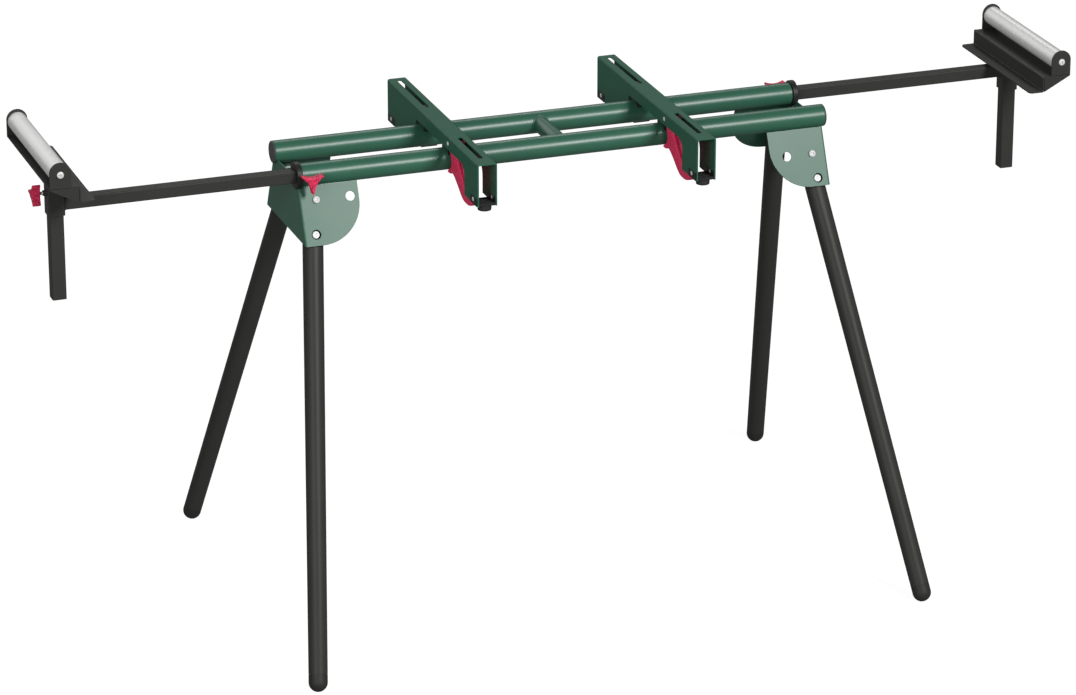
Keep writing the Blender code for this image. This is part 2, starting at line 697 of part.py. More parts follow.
# liner with the seats on the tubes: a saddle over the front one, a hook behind the rear
# one, and a strip along the channel's roof between them
def bracket_seats(side, place, slide):
    half = HALF_INNER - GAP
    roof = ROOF - SHEET - GAP
    spread = math.degrees(math.acos(SADDLE_HALF / SEAT_R))
    saddle_points = [(-TUBE_Y - SADDLE_HALF, roof)] + arc(-TUBE_Y, TUBE_Z, SEAT_R, 180 - spread, spread, 10)
    saddle_points.append((-TUBE_Y + SADDLE_HALF, roof))
    low = TUBE_Z - TUBE_R - HOOK_LIP
    hook_points = [(TUBE_Y - SADDLE_HALF, roof)] + arc(TUBE_Y, TUBE_Z, SEAT_R, 180 - spread, -90, 24)
    hook_points += [(TUBE_Y, low), (TUBE_Y + TUBE_R, low), (TUBE_Y + HOOK_LONG, low + TUBE_R / 2),
                    (TUBE_Y + HOOK_LONG, roof)]
    seats = outline(side + "_bracket_seats", saddle_points, 2 * half, "YZ", (0, 0, 0), stand, place)
    hook = outline(side + "_rear_hook", hook_points, 2 * half, "YZ", (0, 0, 0), tools, place)
    strip = box(side + "_liner_strip", (-half, -TUBE_Y, roof - LINER), (half, TUBE_Y, roof), tools, place)
    join(seats, strip, hook)
    attach(paint(seats, BLACK_PLASTIC), slide)


def lever_pin(side, place, slide):
    head = dome(PIN_HEAD_R, HALF_WIDE + GAP, HALF_WIDE + PIN_HEAD_HIGH) + [(PIN_R, HALF_WIDE + GAP)]
    profile = head + [(r, -x) for r, x in reversed(head)]
    pin = turned(side + "_lever_pin", profile, stand,
                 place @ Matrix.Translation((0, PIN_Y, PIN_Z)) @ TURN_X, 14)
    attach(paint(pin, ZINC), slide)


# clamp lever: turns on the pin, its lip hooks under the front tube, and its grip grows
# narrower towards the front; all points are measured from the front tube's axis
GRIP = [(-0.0393, 0.0244), (-0.0488, 0.0163), (-0.0669, -0.0059), (-0.0844, -0.0275),
        (-0.0961, -0.0358), (-0.1070, -0.0386), (-0.1154, -0.0363)]
TOE = [(-0.1191, -0.0386), (-0.1170, -0.0465), (-0.1128, -0.0520), (-0.1045, -0.0544)]
BELLY = [(-0.0957, -0.0548), (-0.0809, -0.0527), (-0.0697, -0.0456), (-0.0548, -0.0326),
         (-0.0399, -0.0213), (-0.0304, -0.0174), (-0.0252, -0.0205), (-0.0212, -0.0221)]
LIP = [(-0.0118, -0.0224), (-0.0097, -0.0187), (-0.0176, -0.0138), (-0.0243, -0.0089),
       (-0.0281, -0.0010), (-0.0264, 0.0094), (-0.0226, 0.0177)]


def from_tube(points):
    return [(y - TUBE_Y, z + TUBE_Z) for y, z in points]


def taper(obj):
    # local x of an outline on the YZ plane is world y, local z is world x
    rear = LIP[1][0] - TUBE_Y
    for vert in obj.data.vertices:
        inward = LEVER_TAPER * (rear - vert.co.x)
        vert.co.z -= math.copysign(inward, vert.co.z)
    return obj


def recess_points():
    # a band along the grip's front face, between the two ribs
    spine = [Vector(point) for point in from_tube(GRIP)]
    spine[0] = spine[0].lerp(spine[1], 0.4)
    spine[-1] = spine[-1].lerp(spine[-2], 0.4)
    outer, inner = [], []
    for i, spot in enumerate(spine):
        run = (spine[min(i + 1, len(spine) - 1)] - spine[max(i - 1, 0)]).normalized()
        away = Vector((-run.y, run.x)) * -1
        outer.append(tuple(spot + away * 4 * LEVER_RECESS))
        inner.append(tuple(spot - away * LEVER_RECESS))
    return outer + inner[::-1]


def bracket_lever(side, place, swing):
    half = HALF_INNER - 2 * GAP
    eye = arc(PIN_Y, PIN_Z, EYE_R, -20, 200, 12)
    points = from_tube(GRIP + TOE + BELLY + LIP) + eye
    lever = taper(outline(side + "_bracket_lever", points, 2 * half, "YZ", (0, 0, 0), stand, place))
    recess = taper(outline(side + "_lever_recess", recess_points(), 2 * (half - LEVER_RIB), "YZ",
                           (0, 0, 0), tools, place))
    fork = box(side + "_lever_fork", (-FORK_HALF, PIN_Y - 4 * EYE_R, PIN_Z - FORK_DEEP),
               (FORK_HALF, PIN_Y + 4 * EYE_R, ROOF), tools, place)
    way = rod(side + "_lever_way", PIN_R + GAP, (-BRACKET_WIDE, PIN_Y, PIN_Z), (BRACKET_WIDE, PIN_Y, PIN_Z),
              tools, place, 16)
    cut(lever, recess, fork, way)
    attach(paint(lever, RED), swing)


for side, x in (("left", BRACKET_X[0]), ("right", BRACKET_X[1])):
    place = Matrix.Translation((x, 0, 0))
    slide = pivot(side + "_bracket_slide", Matrix.Translation((x, 0, TUBE_Z)), root)
    saw_bracket(side, place, slide)
    corner_insert(side + "_front_insert", place @ LEFT, slide)
    corner_insert(side + "_rear_insert", place @ RIGHT, slide)
    bracket_pad(side, place, slide)
    bracket_seats(side, place, slide)
    lever_pin(side, place, slide)
    swing = pivot(side + "_lever_axis", Matrix.Translation((x, PIN_Y, PIN_Z)), slide)
    bracket_lever(side, place, swing)

# leg bracket: end panel and two sloping cheeks under the tubes
sin_t = math.sin(CHEEK_TILT)
cos_t = math.cos(CHEEK_TILT)
cheek_high = PANEL_DROP * cos_t + (PANEL_HALF - TUBE_Y) * sin_t


def cheek_frame(sy):
    # local x is world x (turned round at the rear), y runs up the slope, z points outward
    turn = RIGHT if sy > 0 else LEFT
    return (turn @ Matrix.Translation((0, -PANEL_HALF, PANEL_LOW))
            @ Matrix.Rotation(math.pi / 2 - CHEEK_TILT, 4, "X"))


def leg_x(up):
    return PANEL_X - LEG_INSET - math.tan(LEG_SPLAY) * up


def cheek(side, index, sx, sy):
    frame = cheek_frame(sy)
    flip = sx if sy < 0 else -sx
    inner_x = PANEL_X - CHEEK_WIDE
    points = [(PANEL_X, 0), (PANEL_X, cheek_high), (inner_x, cheek_high)]
    points += arc(inner_x + CHEEK_ARC_R, CHEEK_ARC_R, CHEEK_ARC_R, 180, 270, 12)
    plate = outline(side + "_cheek", [(flip * x, up) for x, up in points], PLATE, "XY",
                    (0, 0, -PLATE / 2), tools, frame)
    holes = []
    for radius, x, up, sides in ((RIVET_R + GAP, leg_x(PIVOT_UP[index]), PIVOT_UP[index], 16),
                                 (HOLE_R, leg_x(BUTTON_UP[index]), BUTTON_UP[index], 24),
                                 (HOLE_R, PANEL_X - SPARE_IN[index], PIVOT_UP[index], 24)):
        holes.append(rod(side + "_cheek_hole", radius, (flip * x, up, -3 * PLATE), (flip * x, up, 3 * PLATE),
                         tools, frame, sides))
    return plate, holes


def leg_bracket(side, index, sx):
    shoulder_y = PANEL_HALF - cheek_high * sin_t
    shoulder_z = PANEL_LOW + cheek_high * cos_t
    top = TUBE_Z - PANEL_SINK
    points = [(-PANEL_HALF, PANEL_LOW), (PANEL_HALF, PANEL_LOW), (shoulder_y, shoulder_z), (TUBE_Y, top),
              (-TUBE_Y, top), (-shoulder_y, shoulder_z)]
    panel = outline(side + "_leg_bracket", points, PLATE, "YZ", (sx * (PANEL_X - PLATE / 2), 0, 0), stand)
    ways = [rod(side + "_tube_way", SEAT_R, (-FAR, y, TUBE_Z), (FAR, y, TUBE_Z)) for y in (-TUBE_Y, TUBE_Y)]
    ways.append(rod(side + "_collar_way", COLLAR_R + GAP, front(-FAR), front(collar_face + GAP), tools,
                    LEFT if sx < 0 else RIGHT))
    spy = (sx * PANEL_X, SPY_Y, TUBE_Z - SPY_DROP)
    ways.append(rod(side + "_spy_hole", SPY_R, (spy[0] - 3 * PLATE, *spy[1:]), (spy[0] + 3 * PLATE, *spy[1:]),
                    tools, Matrix(), 12))
    for sy in (-1, 1):
        plate, holes = cheek(side, index, sx, sy)
        join(panel, plate)
        ways += holes
    cut(panel, *ways)
    attach(paint(panel, GREEN), root)


# pivot rivet: domed head outside, shoulder between cheek and leg, closing head inside
def leg_pivot(name, spot):
    shoulder = LEG_FLAT + GAP - LEG_IN
    far = -LEG_FLAT - GAP - LEG_IN
    inner_head = [(r, z) for r, z in reversed(dome(RIVET_HEAD_R, far, far - RIVET_HEAD_HIGH))]
    rivet = turned(name, dome(RIVET_HEAD_R, GAP, GAP + RIVET_HEAD_HIGH) + [
        (RIVET_R, GAP), (RIVET_R, -PLATE - GAP), (SHOULDER_R, -PLATE - GAP), (SHOULDER_R, shoulder),
        (RIVET_R, shoulder), (RIVET_R, far)] + inner_head, stand, spot, 16)
    attach(paint(rivet, ZINC), root)


# leg: turned tube, slightly tapered, with a rounded head on the pivot, open below for its cap;
# in its own frame the pivot is the origin, the leg runs down -Z and its front faces -Y
def leg(name, hub, long, drop, axis):
    slope = (LEG_TOP_R - LEG_FOOT_R) / long
    seam = CAP_SLEEVE - long
    seam_r = LEG_TOP_R + slope * seam
    profile = [(x, z) for z, x in arc(0, 0, LEG_TOP_R, 0, 90, 4)]
    profile += [(seam_r, seam), (seam_r - LEG_WALL, seam), (seam_r - LEG_WALL, -LEG_PLUG), (0, -LEG_PLUG)]
    tube = turned(name, profile, stand, hub, 24)
    width = 2 * LEG_TOP_R
    flats = [box(name + "_flat_out", (-width, -width, -LEG_FLAT_LONG), (width, -LEG_FLAT, width), tools, hub),
             box(name + "_flat_in", (-width, LEG_FLAT, -LEG_FLAT_LONG), (width, width, width), tools, hub)]
    pivot_way = rod(name + "_pivot_way", RIVET_R + GAP, (0, -width, 0), (0, width, 0), tools, hub, 16)
    button_way = rod(name + "_button_way", BUTTON_R + GAP, (0, -width, -drop), (0, 0, -drop), tools, hub, 20)
    cut(tube, *flats, pivot_way, button_way)
    attach(paint(tube, BLACK_PAINT), axis)
    return seam_r


def foot_cap(name, foot, seam_r, axis):
    stem = seam_r - LEG_WALL - GAP
    stem_top = CAP_SLEEVE + CAP_STEM
    profile = [(0, stem_top), (stem - SMALL_EDGE, stem_top), (stem, stem_top - SMALL_EDGE),
               (stem, CAP_SLEEVE - GAP), (seam_r, CAP_SLEEVE - GAP)]
    profile += [(x, -z) for x, z in arc(0, 0, LEG_FOOT_R, 0, 90, 4)]
    profile[-1] = (0, -LEG_FOOT_R)
    attach(paint(turned(name, profile, stand, foot, 24), RUBBER), axis)


def lock_button(name, hub, drop, axis):
    face = LEG_IN - PLATE - GAP
    press = pivot(name + "_slide", hub @ Matrix.Translation((0, -face, -drop)), axis)
    button = rod(name, BUTTON_R, (0, -face, -drop), (0, BUTTON_LONG - face, -drop), stand, hub, 20)
    round_edges(button, SMALL_EDGE)
    attach(paint(button, ZINC), press)


def leg_group(tag, index, sx, sy):
    frame = cheek_frame(sy)
    flip = sx if sy < 0 else -sx
    up = PIVOT_UP[index]
    spot = frame @ Matrix.Translation((flip * leg_x(up), up, 0))
    leg_pivot(tag + "_leg_pivot", spot)
    hub = (spot @ Matrix.Translation((0, 0, -LEG_IN)) @ Matrix.Rotation(flip * LEG_SPLAY, 4, "Z")
           @ Matrix.Rotation(-math.pi / 2, 4, "X"))
    axis = pivot(tag + "_leg_axis", hub, root)
    foot_up = (LEG_FOOT_R - PANEL_LOW + LEG_IN * sin_t) / cos_t
    long = (up - foot_up) / math.cos(LEG_SPLAY)
    drop = (up - BUTTON_UP[index]) / math.cos(LEG_SPLAY)
    seam_r = leg(tag + "_leg", hub, long, drop, axis)
    foot_cap(tag + "_foot_cap", hub @ Matrix.Translation((0, 0, -long)), seam_r, axis)
    lock_button(tag + "_lock_button", hub, drop, axis)


for index, (side, sx) in enumerate((("left", -1), ("right", 1))):
    leg_bracket(side, index, sx)
    for end, sy in (("front", -1), ("rear", 1)):
        leg_group(side + "_" + end, index, sx, sy)

tools.hide_render = True
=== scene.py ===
# %% [markdown]
# # Dressing a folding miter saw stand
# The imported model already holds every piece at its real size. Here each piece gets the
# surface that an eye expects: powder-coated tubes, bent sheet, moulded knobs, turned
# rollers. We start by loading the frame.

# %% Load the frame
import math
from collections import namedtuple
import bmesh
import bpy
from mathutils import Matrix, Vector


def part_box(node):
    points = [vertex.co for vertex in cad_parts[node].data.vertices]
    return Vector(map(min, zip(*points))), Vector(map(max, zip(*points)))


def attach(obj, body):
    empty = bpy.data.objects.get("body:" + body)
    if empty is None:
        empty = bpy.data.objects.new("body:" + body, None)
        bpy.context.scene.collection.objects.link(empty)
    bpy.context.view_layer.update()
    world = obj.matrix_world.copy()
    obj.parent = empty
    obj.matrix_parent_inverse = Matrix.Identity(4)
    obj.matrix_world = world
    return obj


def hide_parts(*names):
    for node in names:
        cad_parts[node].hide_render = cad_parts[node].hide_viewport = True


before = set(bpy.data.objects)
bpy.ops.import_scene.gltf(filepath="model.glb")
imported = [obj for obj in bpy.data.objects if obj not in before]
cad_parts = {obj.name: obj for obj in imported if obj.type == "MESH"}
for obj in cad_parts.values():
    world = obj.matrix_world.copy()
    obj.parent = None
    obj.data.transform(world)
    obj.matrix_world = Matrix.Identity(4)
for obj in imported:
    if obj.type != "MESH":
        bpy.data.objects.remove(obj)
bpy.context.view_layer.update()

# %% [markdown]
# ## Measuring the stand
# Sizes are read from the frame, so a dressed piece lands where its solid is. The stand has
# a half-turn symmetry: what is at the front left is also at the rear right. So most pieces
# are made once, for the front or the left, and placed a second time turned half round.


# %% Sizes from the frame
Extent = namedtuple("Extent", "low high mid size")


def box_of(node):
    low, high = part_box(node)
    return Extent(low, high, (low + high) / 2, high - low)


tube_box = box_of("front_tube")
TUBE_R = tube_box.size.z / 2
TUBE_Y = -(tube_box.high.y - TUBE_R)
TUBE_Z = tube_box.mid.z
bar_box = box_of("left_arm_bar")
BAR = bar_box.size.z
sleeve_box = box_of("left_arm_sleeve")
SLEEVE = sleeve_box.size.y
post_box = box_of("left_head_post")
POST = post_box.size.x
POST_X = -post_box.mid.x
roller_box = box_of("left_roller")
ROLLER_R = roller_box.size.x / 2
collar_box = box_of("front_tube_collar")
COLLAR_R = collar_box.size.z / 2
TUBE_WALL = 0.0020
SHEET = 0.0025
PLATE = 0.0020
GAP = 0.0003
EASE = 0.0006
HERE = Matrix()
HALF_TURN = Matrix.Rotation(math.pi, 4, "Z")
ENDS = (("front", HERE), ("rear", HALF_TURN))
print("tube", round(TUBE_R * 2000, 1), "mm across, axes", round(TUBE_Y * 2000, 1), "mm apart")

# %% [markdown]
# ## Shader maths as plain expressions
# A finish is easier to read as `0.4 + 0.1 * grain` than as a page of node calls. The class
# below wraps one socket and turns plus and times into Math nodes. The reflected forms are
# there too, so a number may stand on the left.


# %% A socket that can be added and multiplied
class Signal:
    def __init__(self, finish, socket):
        self.finish = finish
        self.socket = socket

    def maths(self, operation, first, second):
        sockets = {0: first, 1: second}
        return self.finish.node("ShaderNodeMath", {"operation": operation}, sockets)

    def __add__(self, other):
        return self.maths("ADD", self, other)

    def __radd__(self, other):
        return self.maths("ADD", other, self)

    def __mul__(self, other):
        return self.maths("MULTIPLY", self, other)

    def __rmul__(self, other):
        return self.maths("MULTIPLY", other, self)


# %% [markdown]
# One method makes every other node. It takes the node's type, its settings, which are set
# first because some of them change the sockets, and then the sockets' values or links.
# Blending two colours goes through a Mix node, which has sockets of one name for each kind
# of data, so the enabled one is looked up.


# %% A finish: one material and the nodes that feed it
class Finish:
    def __init__(self, name, slot, colour, roughness, metallic=0.0, gloss=0.5):
        self.slot = slot
        self.material = bpy.data.materials.new(name)
        self.material.use_nodes = True
        self.tree = self.material.node_tree
        self.shader = self.tree.nodes["Principled BSDF"]
        self.shader.inputs["Base Color"].default_value = (*colour, 1)
        self.shader.inputs["Roughness"].default_value = roughness
        self.shader.inputs["Metallic"].default_value = metallic
        self.shader.inputs["Specular IOR Level"].default_value = gloss
        self.place = self.node("ShaderNodeTexCoord", out="Object")

    def node(self, kind, settings=None, sockets=None, out=0):
        made = self.tree.nodes.new(kind)
        for name, value in (settings or {}).items():
            setattr(made, name, value)
        for name, value in (sockets or {}).items():
            if isinstance(value, Signal):
                self.tree.links.new(value.socket, made.inputs[name])
            else:
                made.inputs[name].default_value = value
        return Signal(self, made.outputs[out])

    def noise(self, scale, detail=2.0, stretch=None, rough=0.5):
        spot = self.place
        if stretch:
            spot = self.node("ShaderNodeMapping", None, {"Vector": spot, "Scale": stretch})
        sockets = {"Vector": spot, "Scale": scale, "Detail": detail, "Roughness": rough}
        return self.node("ShaderNodeTexNoise", None, sockets)

    def between(self, amount, first, second):
        made = self.tree.nodes.new("ShaderNodeMix")
        made.data_type = "RGBA"
        sockets = {s.name: s for s in made.inputs if s.enabled}
        self.tree.links.new(amount.socket, sockets["Factor"])
        sockets["A"].default_value = (*first, 1)
        sockets["B"].default_value = (*second, 1)
        return Signal(self, [s for s in made.outputs if s.enabled][0])

    def feed(self, socket, signal):
        self.tree.links.new(signal.socket, self.shader.inputs[socket])
        return self

    def bump(self, height, strength, distance):
        sockets = {"Height": height, "Strength": strength, "Distance": distance}
        return self.feed("Normal", self.node("ShaderNodeBump", None, sockets))


def shade_of(colour, factor):
    return tuple(min(1.0, c * factor) for c in colour)


# %% [markdown]
# ## Powder coat
# The tubes, brackets and arms are powder coated. The coat flows as it bakes and sets with a
# faint orange peel a millimetre or so across, with a soft satin sheen. Two noises do it: a
# fine one for the peel, and a broad one that shifts colour and sheen a little, as a real
# batch does. One green has three sheens: the tubes shine most, the leg brackets' sheet is
# duller, and the saw brackets' channels hardly mirror at all.


# %% Green and black powder coat
def powder_coat(name, slot, colour, roughness, peel, gloss):
    finish = Finish(name, slot, colour, roughness, gloss=gloss)
    patch = finish.noise(7.0, 3.0)
    speck = finish.noise(1500.0, 1.0)
    fine = finish.noise(520.0, 2.0)
    blend = 0.75 * patch + 0.25 * speck
    finish.feed("Base Color", finish.between(blend, shade_of(colour, 0.86), shade_of(colour, 1.16)))
    finish.feed("Roughness", (roughness - 0.06) + 0.08 * patch + 0.04 * fine)
    return finish.bump(fine + 0.35 * speck, peel, 0.0004)


GREEN = (0.028, 0.113, 0.070)
green_coat = powder_coat("green_powder_coat", "green_coat", GREEN, 0.36, 0.12, 0.5)
cheek_coat = powder_coat("green_sheet_coat", "green_coat", GREEN, 0.43, 0.14, 0.5)
channel_coat = powder_coat("green_channel_coat", "green_coat", GREEN, 0.46, 0.14, 0.12)
BLACK = (0.036, 0.036, 0.033)
black_coat = powder_coat("black_powder_coat", "black_coat", BLACK, 0.42, 0.16, 0.14)
print("powder coats:", green_coat.material.name, black_coat.material.name)

# %% [markdown]
# ## Moulded plastic and rubber
# Knobs and levers come out of a spark-eroded mould. Their grain is coarse enough to see,
# with dark pits and pale tops a millimetre or two apart, so the noise is stretched in
# contrast round its middle before it mixes the two reds. The levers' red is the knobs' red
# made brighter, which is painted light for the lever down in the channel's shade, and it is
# less mottled. The black mouldings are smoother, the tube caps are dark grey, and rubber is
# duller still, with a dusty bloom.


# %% Red, black, grey and rubber mouldings
def moulding(name, slot, colour, roughness, grain_size, contrast, mottling, depth, gloss):
    finish = Finish(name, slot, colour, roughness, gloss=gloss)
    grain = finish.noise(1.0 / grain_size, 2.0, rough=0.6)
    bloom = finish.noise(28.0, 4.0)
    speckle = (0.5 - 0.5 * contrast) + contrast * (0.8 * grain + 0.2 * bloom)
    pit, top = shade_of(colour, 1.0 - mottling), shade_of(colour, 1.0 + mottling)
    finish.feed("Base Color", finish.between(speckle, pit, top))
    finish.feed("Roughness", (roughness - 0.08) + 0.10 * bloom + 0.06 * grain)
    return finish.bump(grain, depth, 0.0003)


COARSE = 0.0034
SMOOTH = 0.0006
DUSTY = 0.0009
red_plastic = moulding("red_grained_plastic", "red_plastic", (0.70, 0.026, 0.092), 0.46,
                       COARSE, 5.0, 0.50, 0.60, 0.4)
# The lever's red is the knobs' red made about a third brighter: painted light for the lever in the
# channel's shade.
lever_red_painted_light = moulding("red_lever_plastic_painted_light", "red_plastic", (0.92, 0.034, 0.118), 0.48,
                     COARSE, 3.0, 0.34, 0.45, 0.4)
black_plastic = moulding("black_moulding", "black_plastic", (0.018, 0.018, 0.018), 0.46,
                         SMOOTH, 1.5, 0.20, 0.18, 0.25)
grey_plastic = moulding("dark_grey_moulding", "black_plastic", (0.060, 0.066, 0.063), 0.48,
                        SMOOTH, 1.5, 0.20, 0.18, 0.3)
rubber = moulding("black_rubber", "black_rubber", (0.028, 0.028, 0.026), 0.50,
                  DUSTY, 1.5, 0.20, 0.25, 0.20)

# %% [markdown]
# ## Bare metal
# The rollers are drawn tube with a brushed skin: fine rings round the axis, so the noise is
# squeezed along it. Screws, pins and buttons are zinc plated, with soft cloudy patches.


# %% Brushed roller and zinc plate
def brushed_roller():
    finish = Finish("brushed_roller_tube", "roller_aluminium", (0.84, 0.84, 0.83), 0.44, 0.40)
    rings = finish.noise(9.0, 4.0, stretch=(3, 3, 160), rough=0.65)
    cloud = finish.noise(14.0, 2.0)
    blend = 0.6 * rings + 0.4 * cloud
    finish.feed("Base Color", finish.between(blend, (0.74, 0.74, 0.73), (0.94, 0.94, 0.93)))
    finish.feed("Roughness", 0.36 + 0.14 * rings + 0.06 * cloud)
    return finish.bump(rings, 0.10, 0.0002)


def zinc_plate():
    finish = Finish("zinc_plate", "zinc", (0.68, 0.68, 0.69), 0.50, 0.10, 0.2)
    cloud = finish.noise(160.0, 3.0)
    fine = finish.noise(1400.0, 2.0)
    finish.feed("Base Color", finish.between(cloud, (0.50, 0.50, 0.51), (0.86, 0.86, 0.87)))
    finish.feed("Roughness", 0.40 + 0.16 * cloud + 0.05 * fine)
    return finish.bump(fine, 0.10, 0.0002)


roller_skin = brushed_roller()
zinc = zinc_plate()

# %% [markdown]
# ## Small tools for shaping
# A turned piece is a profile spun round an axis. A stamped or extruded piece is a flat
# outline with holes, thickened, with its edges broken by a small bevel. Blender's 2D curve
# fills an outline with holes by itself, so `stamp` uses one and keeps only its mesh.


# %% Placing and outlines
def standing(origin, up, side=(1, 0, 0)):
    up = Vector(up).normalized()
    side = Vector(side)
    side = (side - up * side.dot(up)).normalized()
    turn = Matrix((side, up.cross(side), up)).transposed().to_4x4()
    return Matrix.Translation(origin) @ turn


def move(x, y, z):
    return Matrix.Translation((x, y, z))


ON_YZ = Matrix(((0, 0, 1, 0), (1, 0, 0, 0), (0, 1, 0, 0), (0, 0, 0, 1)))
ON_XZ = Matrix.Rotation(math.pi / 2, 4, "X")


def arc(centre, radius, first, last, steps, radius_up=None):
    x, y = centre
    high = radius_up or radius
    turn = [math.radians(first + (last - first) * i / steps) for i in range(steps + 1)]
    return [(x + radius * math.cos(a), y + high * math.sin(a)) for a in turn]


def circle(centre, radius, steps):
    return arc(centre, radius, 0, 360 - 360 / steps, steps - 1)


def eased(points, radius, steps=4, closed=True):
    made = []
    count = len(points)
    for i, spot in enumerate(points):
        if not closed and i in (0, count - 1):
            made.append(spot)
            continue
        here = Vector(spot)
        back = Vector(points[i - 1]) - here
        ahead = Vector(points[(i + 1) % count]) - here
        wish = radius[i] if isinstance(radius, (list, tuple)) else radius
        reach = min(wish, back.length * 0.48, ahead.length * 0.48)
        a = here + back.normalized() * reach
        b = here + ahead.normalized() * reach
        for k in range(steps + 1):
            t = k / steps
            made.append(tuple((1 - t) ** 2 * a + 2 * t * (1 - t) * here + t * t * b))
    return made


def slab(width, height, radius=0.0, steps=6):
    w, h = width / 2, height / 2
    corners = [(-w, -h), (w, -h), (w, h), (-w, h)]
    return eased(corners, radius, steps) if radius else corners


# %% [markdown]
# Every mesh ends the same way: double vertices merged, normals made even, faces smooth
# except at real edges. The weighted normals keep big flat faces flat next to small bevels.


# %% Making meshes
MERGE = 2e-6
SHARP = math.radians(38)


def even_shading(piece):
    piece.data.shade_smooth()
    piece.data.set_sharp_from_angle(angle=SHARP)
    even = piece.modifiers.new("even_shading", "WEIGHTED_NORMAL")
    even.keep_sharp = True
    return piece


def into_scene(name, data, place=HERE):
    made = bpy.data.objects.new(name, data)
    bpy.context.scene.collection.objects.link(made)
    made.matrix_world = place
    return made


def mesh_from(name, bm):
    mesh = bpy.data.meshes.new(name)
    bm.to_mesh(mesh)
    bm.free()
    return mesh


def finish_mesh(name, bm, place):
    bmesh.ops.remove_doubles(bm, verts=bm.verts, dist=MERGE)
    bmesh.ops.recalc_face_normals(bm, faces=bm.faces)
    return even_shading(into_scene(name, mesh_from(name, bm), place))


def lathe(name, profile, place, steps=96, closed=False):
    bm = bmesh.new()
    verts = [bm.verts.new((r, 0, z)) for r, z in profile]
    pairs = list(zip(verts, verts[1:]))
    if closed:
        pairs.append((verts[-1], verts[0]))
    edges = [bm.edges.new(pair) for pair in pairs]
    bmesh.ops.spin(bm, geom=verts + edges, cent=(0, 0, 0), axis=(0, 0, 1), angle=math.tau,
                   steps=steps, use_merge=True, use_normal_flip=False)
    return finish_mesh(name, bm, place)


def closed_curve(name, dimensions, loops, depth, resolution):
    curve = bpy.data.curves.new(name, "CURVE")
    curve.dimensions = dimensions
    curve.bevel_depth = depth
    curve.bevel_resolution = resolution
    for loop in loops:
        spline = curve.splines.new("POLY")
        spline.points.add(len(loop) - 1)
        for point, spot in zip(spline.points, loop):
            point.co = (*spot, 1) if dimensions == "3D" else (*spot, 0, 1)
        spline.use_cyclic_u = True
    return curve


def from_curve(name, curve, place):
    helper = into_scene(name + "_curve", curve)
    bpy.context.view_layer.update()
    graph = bpy.context.evaluated_depsgraph_get()
    drawn = bpy.data.meshes.new_from_object(helper.evaluated_get(graph))
    bm = bmesh.new()
    bm.from_mesh(drawn)
    bpy.data.objects.remove(helper)
    bpy.data.meshes.remove(drawn)
    return finish_mesh(name, bm, place)


def stamp(name, outer, holes, thick, place, edge=0.0004, edge_steps=2):
    curve = closed_curve(name, "2D", [outer, *holes], edge, edge_steps)
    curve.fill_mode = "BOTH"
    curve.extrude = thick / 2 - edge
    curve.offset = -edge
    return from_curve(name, curve, place)


def bead(name, points, radius, turn=HERE):
    return from_curve(name, closed_curve(name, "3D", [points], radius, 3), turn)


# %% [markdown]
# Some forms are easiest to make by taking material away, as a punch or a milling cutter
# does. `carve` cuts with Booleans and then breaks the new sharp edges. `weld_up` makes one
# object of several, as a welder would.


# %% Cutting and joining
CORNER = math.radians(50)


def cutter(outer, thick, place):
    return stamp("cutter", outer, [], thick, place, 0.00005, 0)


def carve(piece, *cutters, edge=0.0):
    piece.modifiers.clear()
    for tool in cutters:
        cutting = piece.modifiers.new("carve", "BOOLEAN")
        cutting.operation = "DIFFERENCE"
        cutting.solver = "EXACT"
        cutting.object = tool
    bpy.context.view_layer.update()
    graph = bpy.context.evaluated_depsgraph_get()
    carved = bpy.data.meshes.new_from_object(piece.evaluated_get(graph))
    piece.modifiers.clear()
    bm = bmesh.new()
    bm.from_mesh(carved)
    bmesh.ops.remove_doubles(bm, verts=bm.verts, dist=MERGE)
    bmesh.ops.dissolve_limit(bm, angle_limit=0.003, verts=bm.verts, edges=bm.edges)
    if edge:
        sharp = [e for e in bm.edges if len(e.link_faces) == 2 and e.calc_face_angle(0) > CORNER]
        bmesh.ops.bevel(bm, geom=sharp, offset=edge, segments=2, profile=0.5, affect="EDGES",
                        clamp_overlap=True)
    bm.to_mesh(piece.data)
    bm.free()
    for tool in cutters:
        bpy.data.objects.remove(tool)
    return even_shading(piece)


def weld_up(name, *pieces):
    bm = bmesh.new()
    place = pieces[0].matrix_world.copy()
    for piece in pieces:
        before = len(bm.verts)
        bm.from_mesh(piece.data)
        bm.verts.ensure_lookup_table()
        shift = place.inverted() @ piece.matrix_world
        bmesh.ops.transform(bm, matrix=shift, verts=bm.verts[before:])
        bpy.data.objects.remove(piece)
    return even_shading(into_scene(name, mesh_from(name, bm), place))


# %% [markdown]
# ## Dressing
# Every piece takes one finish, rides on one body of the frame, and may stand for a solid of
# the frame, which is then hidden but still collides.

# %% Dress a piece
dressed = []


def dress(piece, finish, body, *nodes):
    piece.data.materials.clear()
    piece.data.materials.append(finish.material)
    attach(piece, body)
    if nodes:
        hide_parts(*nodes)
    dressed.append(piece.name)
    return piece


# %% [markdown]
# ## Main tubes
# Two round tubes carry everything. Each is a plain pipe with a small boss welded on near
# one end, where the clamp knob screws in. A bead of weld runs round the boss, so its ring
# follows the tube's curve. The wall is real, so an open end would look like a tube.

# %% Front and rear tube
KNOB_X = -0.4732
KNOB_Z = 0.8232
BOSS_R = 0.0050
BOSS_LONG = 0.0055
BOSS_BORE = 0.0033
SUNK = 0.0020
on_front_tube = standing((0, -TUBE_Y, TUBE_Z), (1, 0, 0), (0, 1, 0))


def boss(name, place, reach):
    ring = eased([(BOSS_BORE, 0), (BOSS_R, 0), (BOSS_R, reach), (BOSS_BORE, reach)], EASE, 3)
    return lathe(name, ring, place, 48, closed=True)


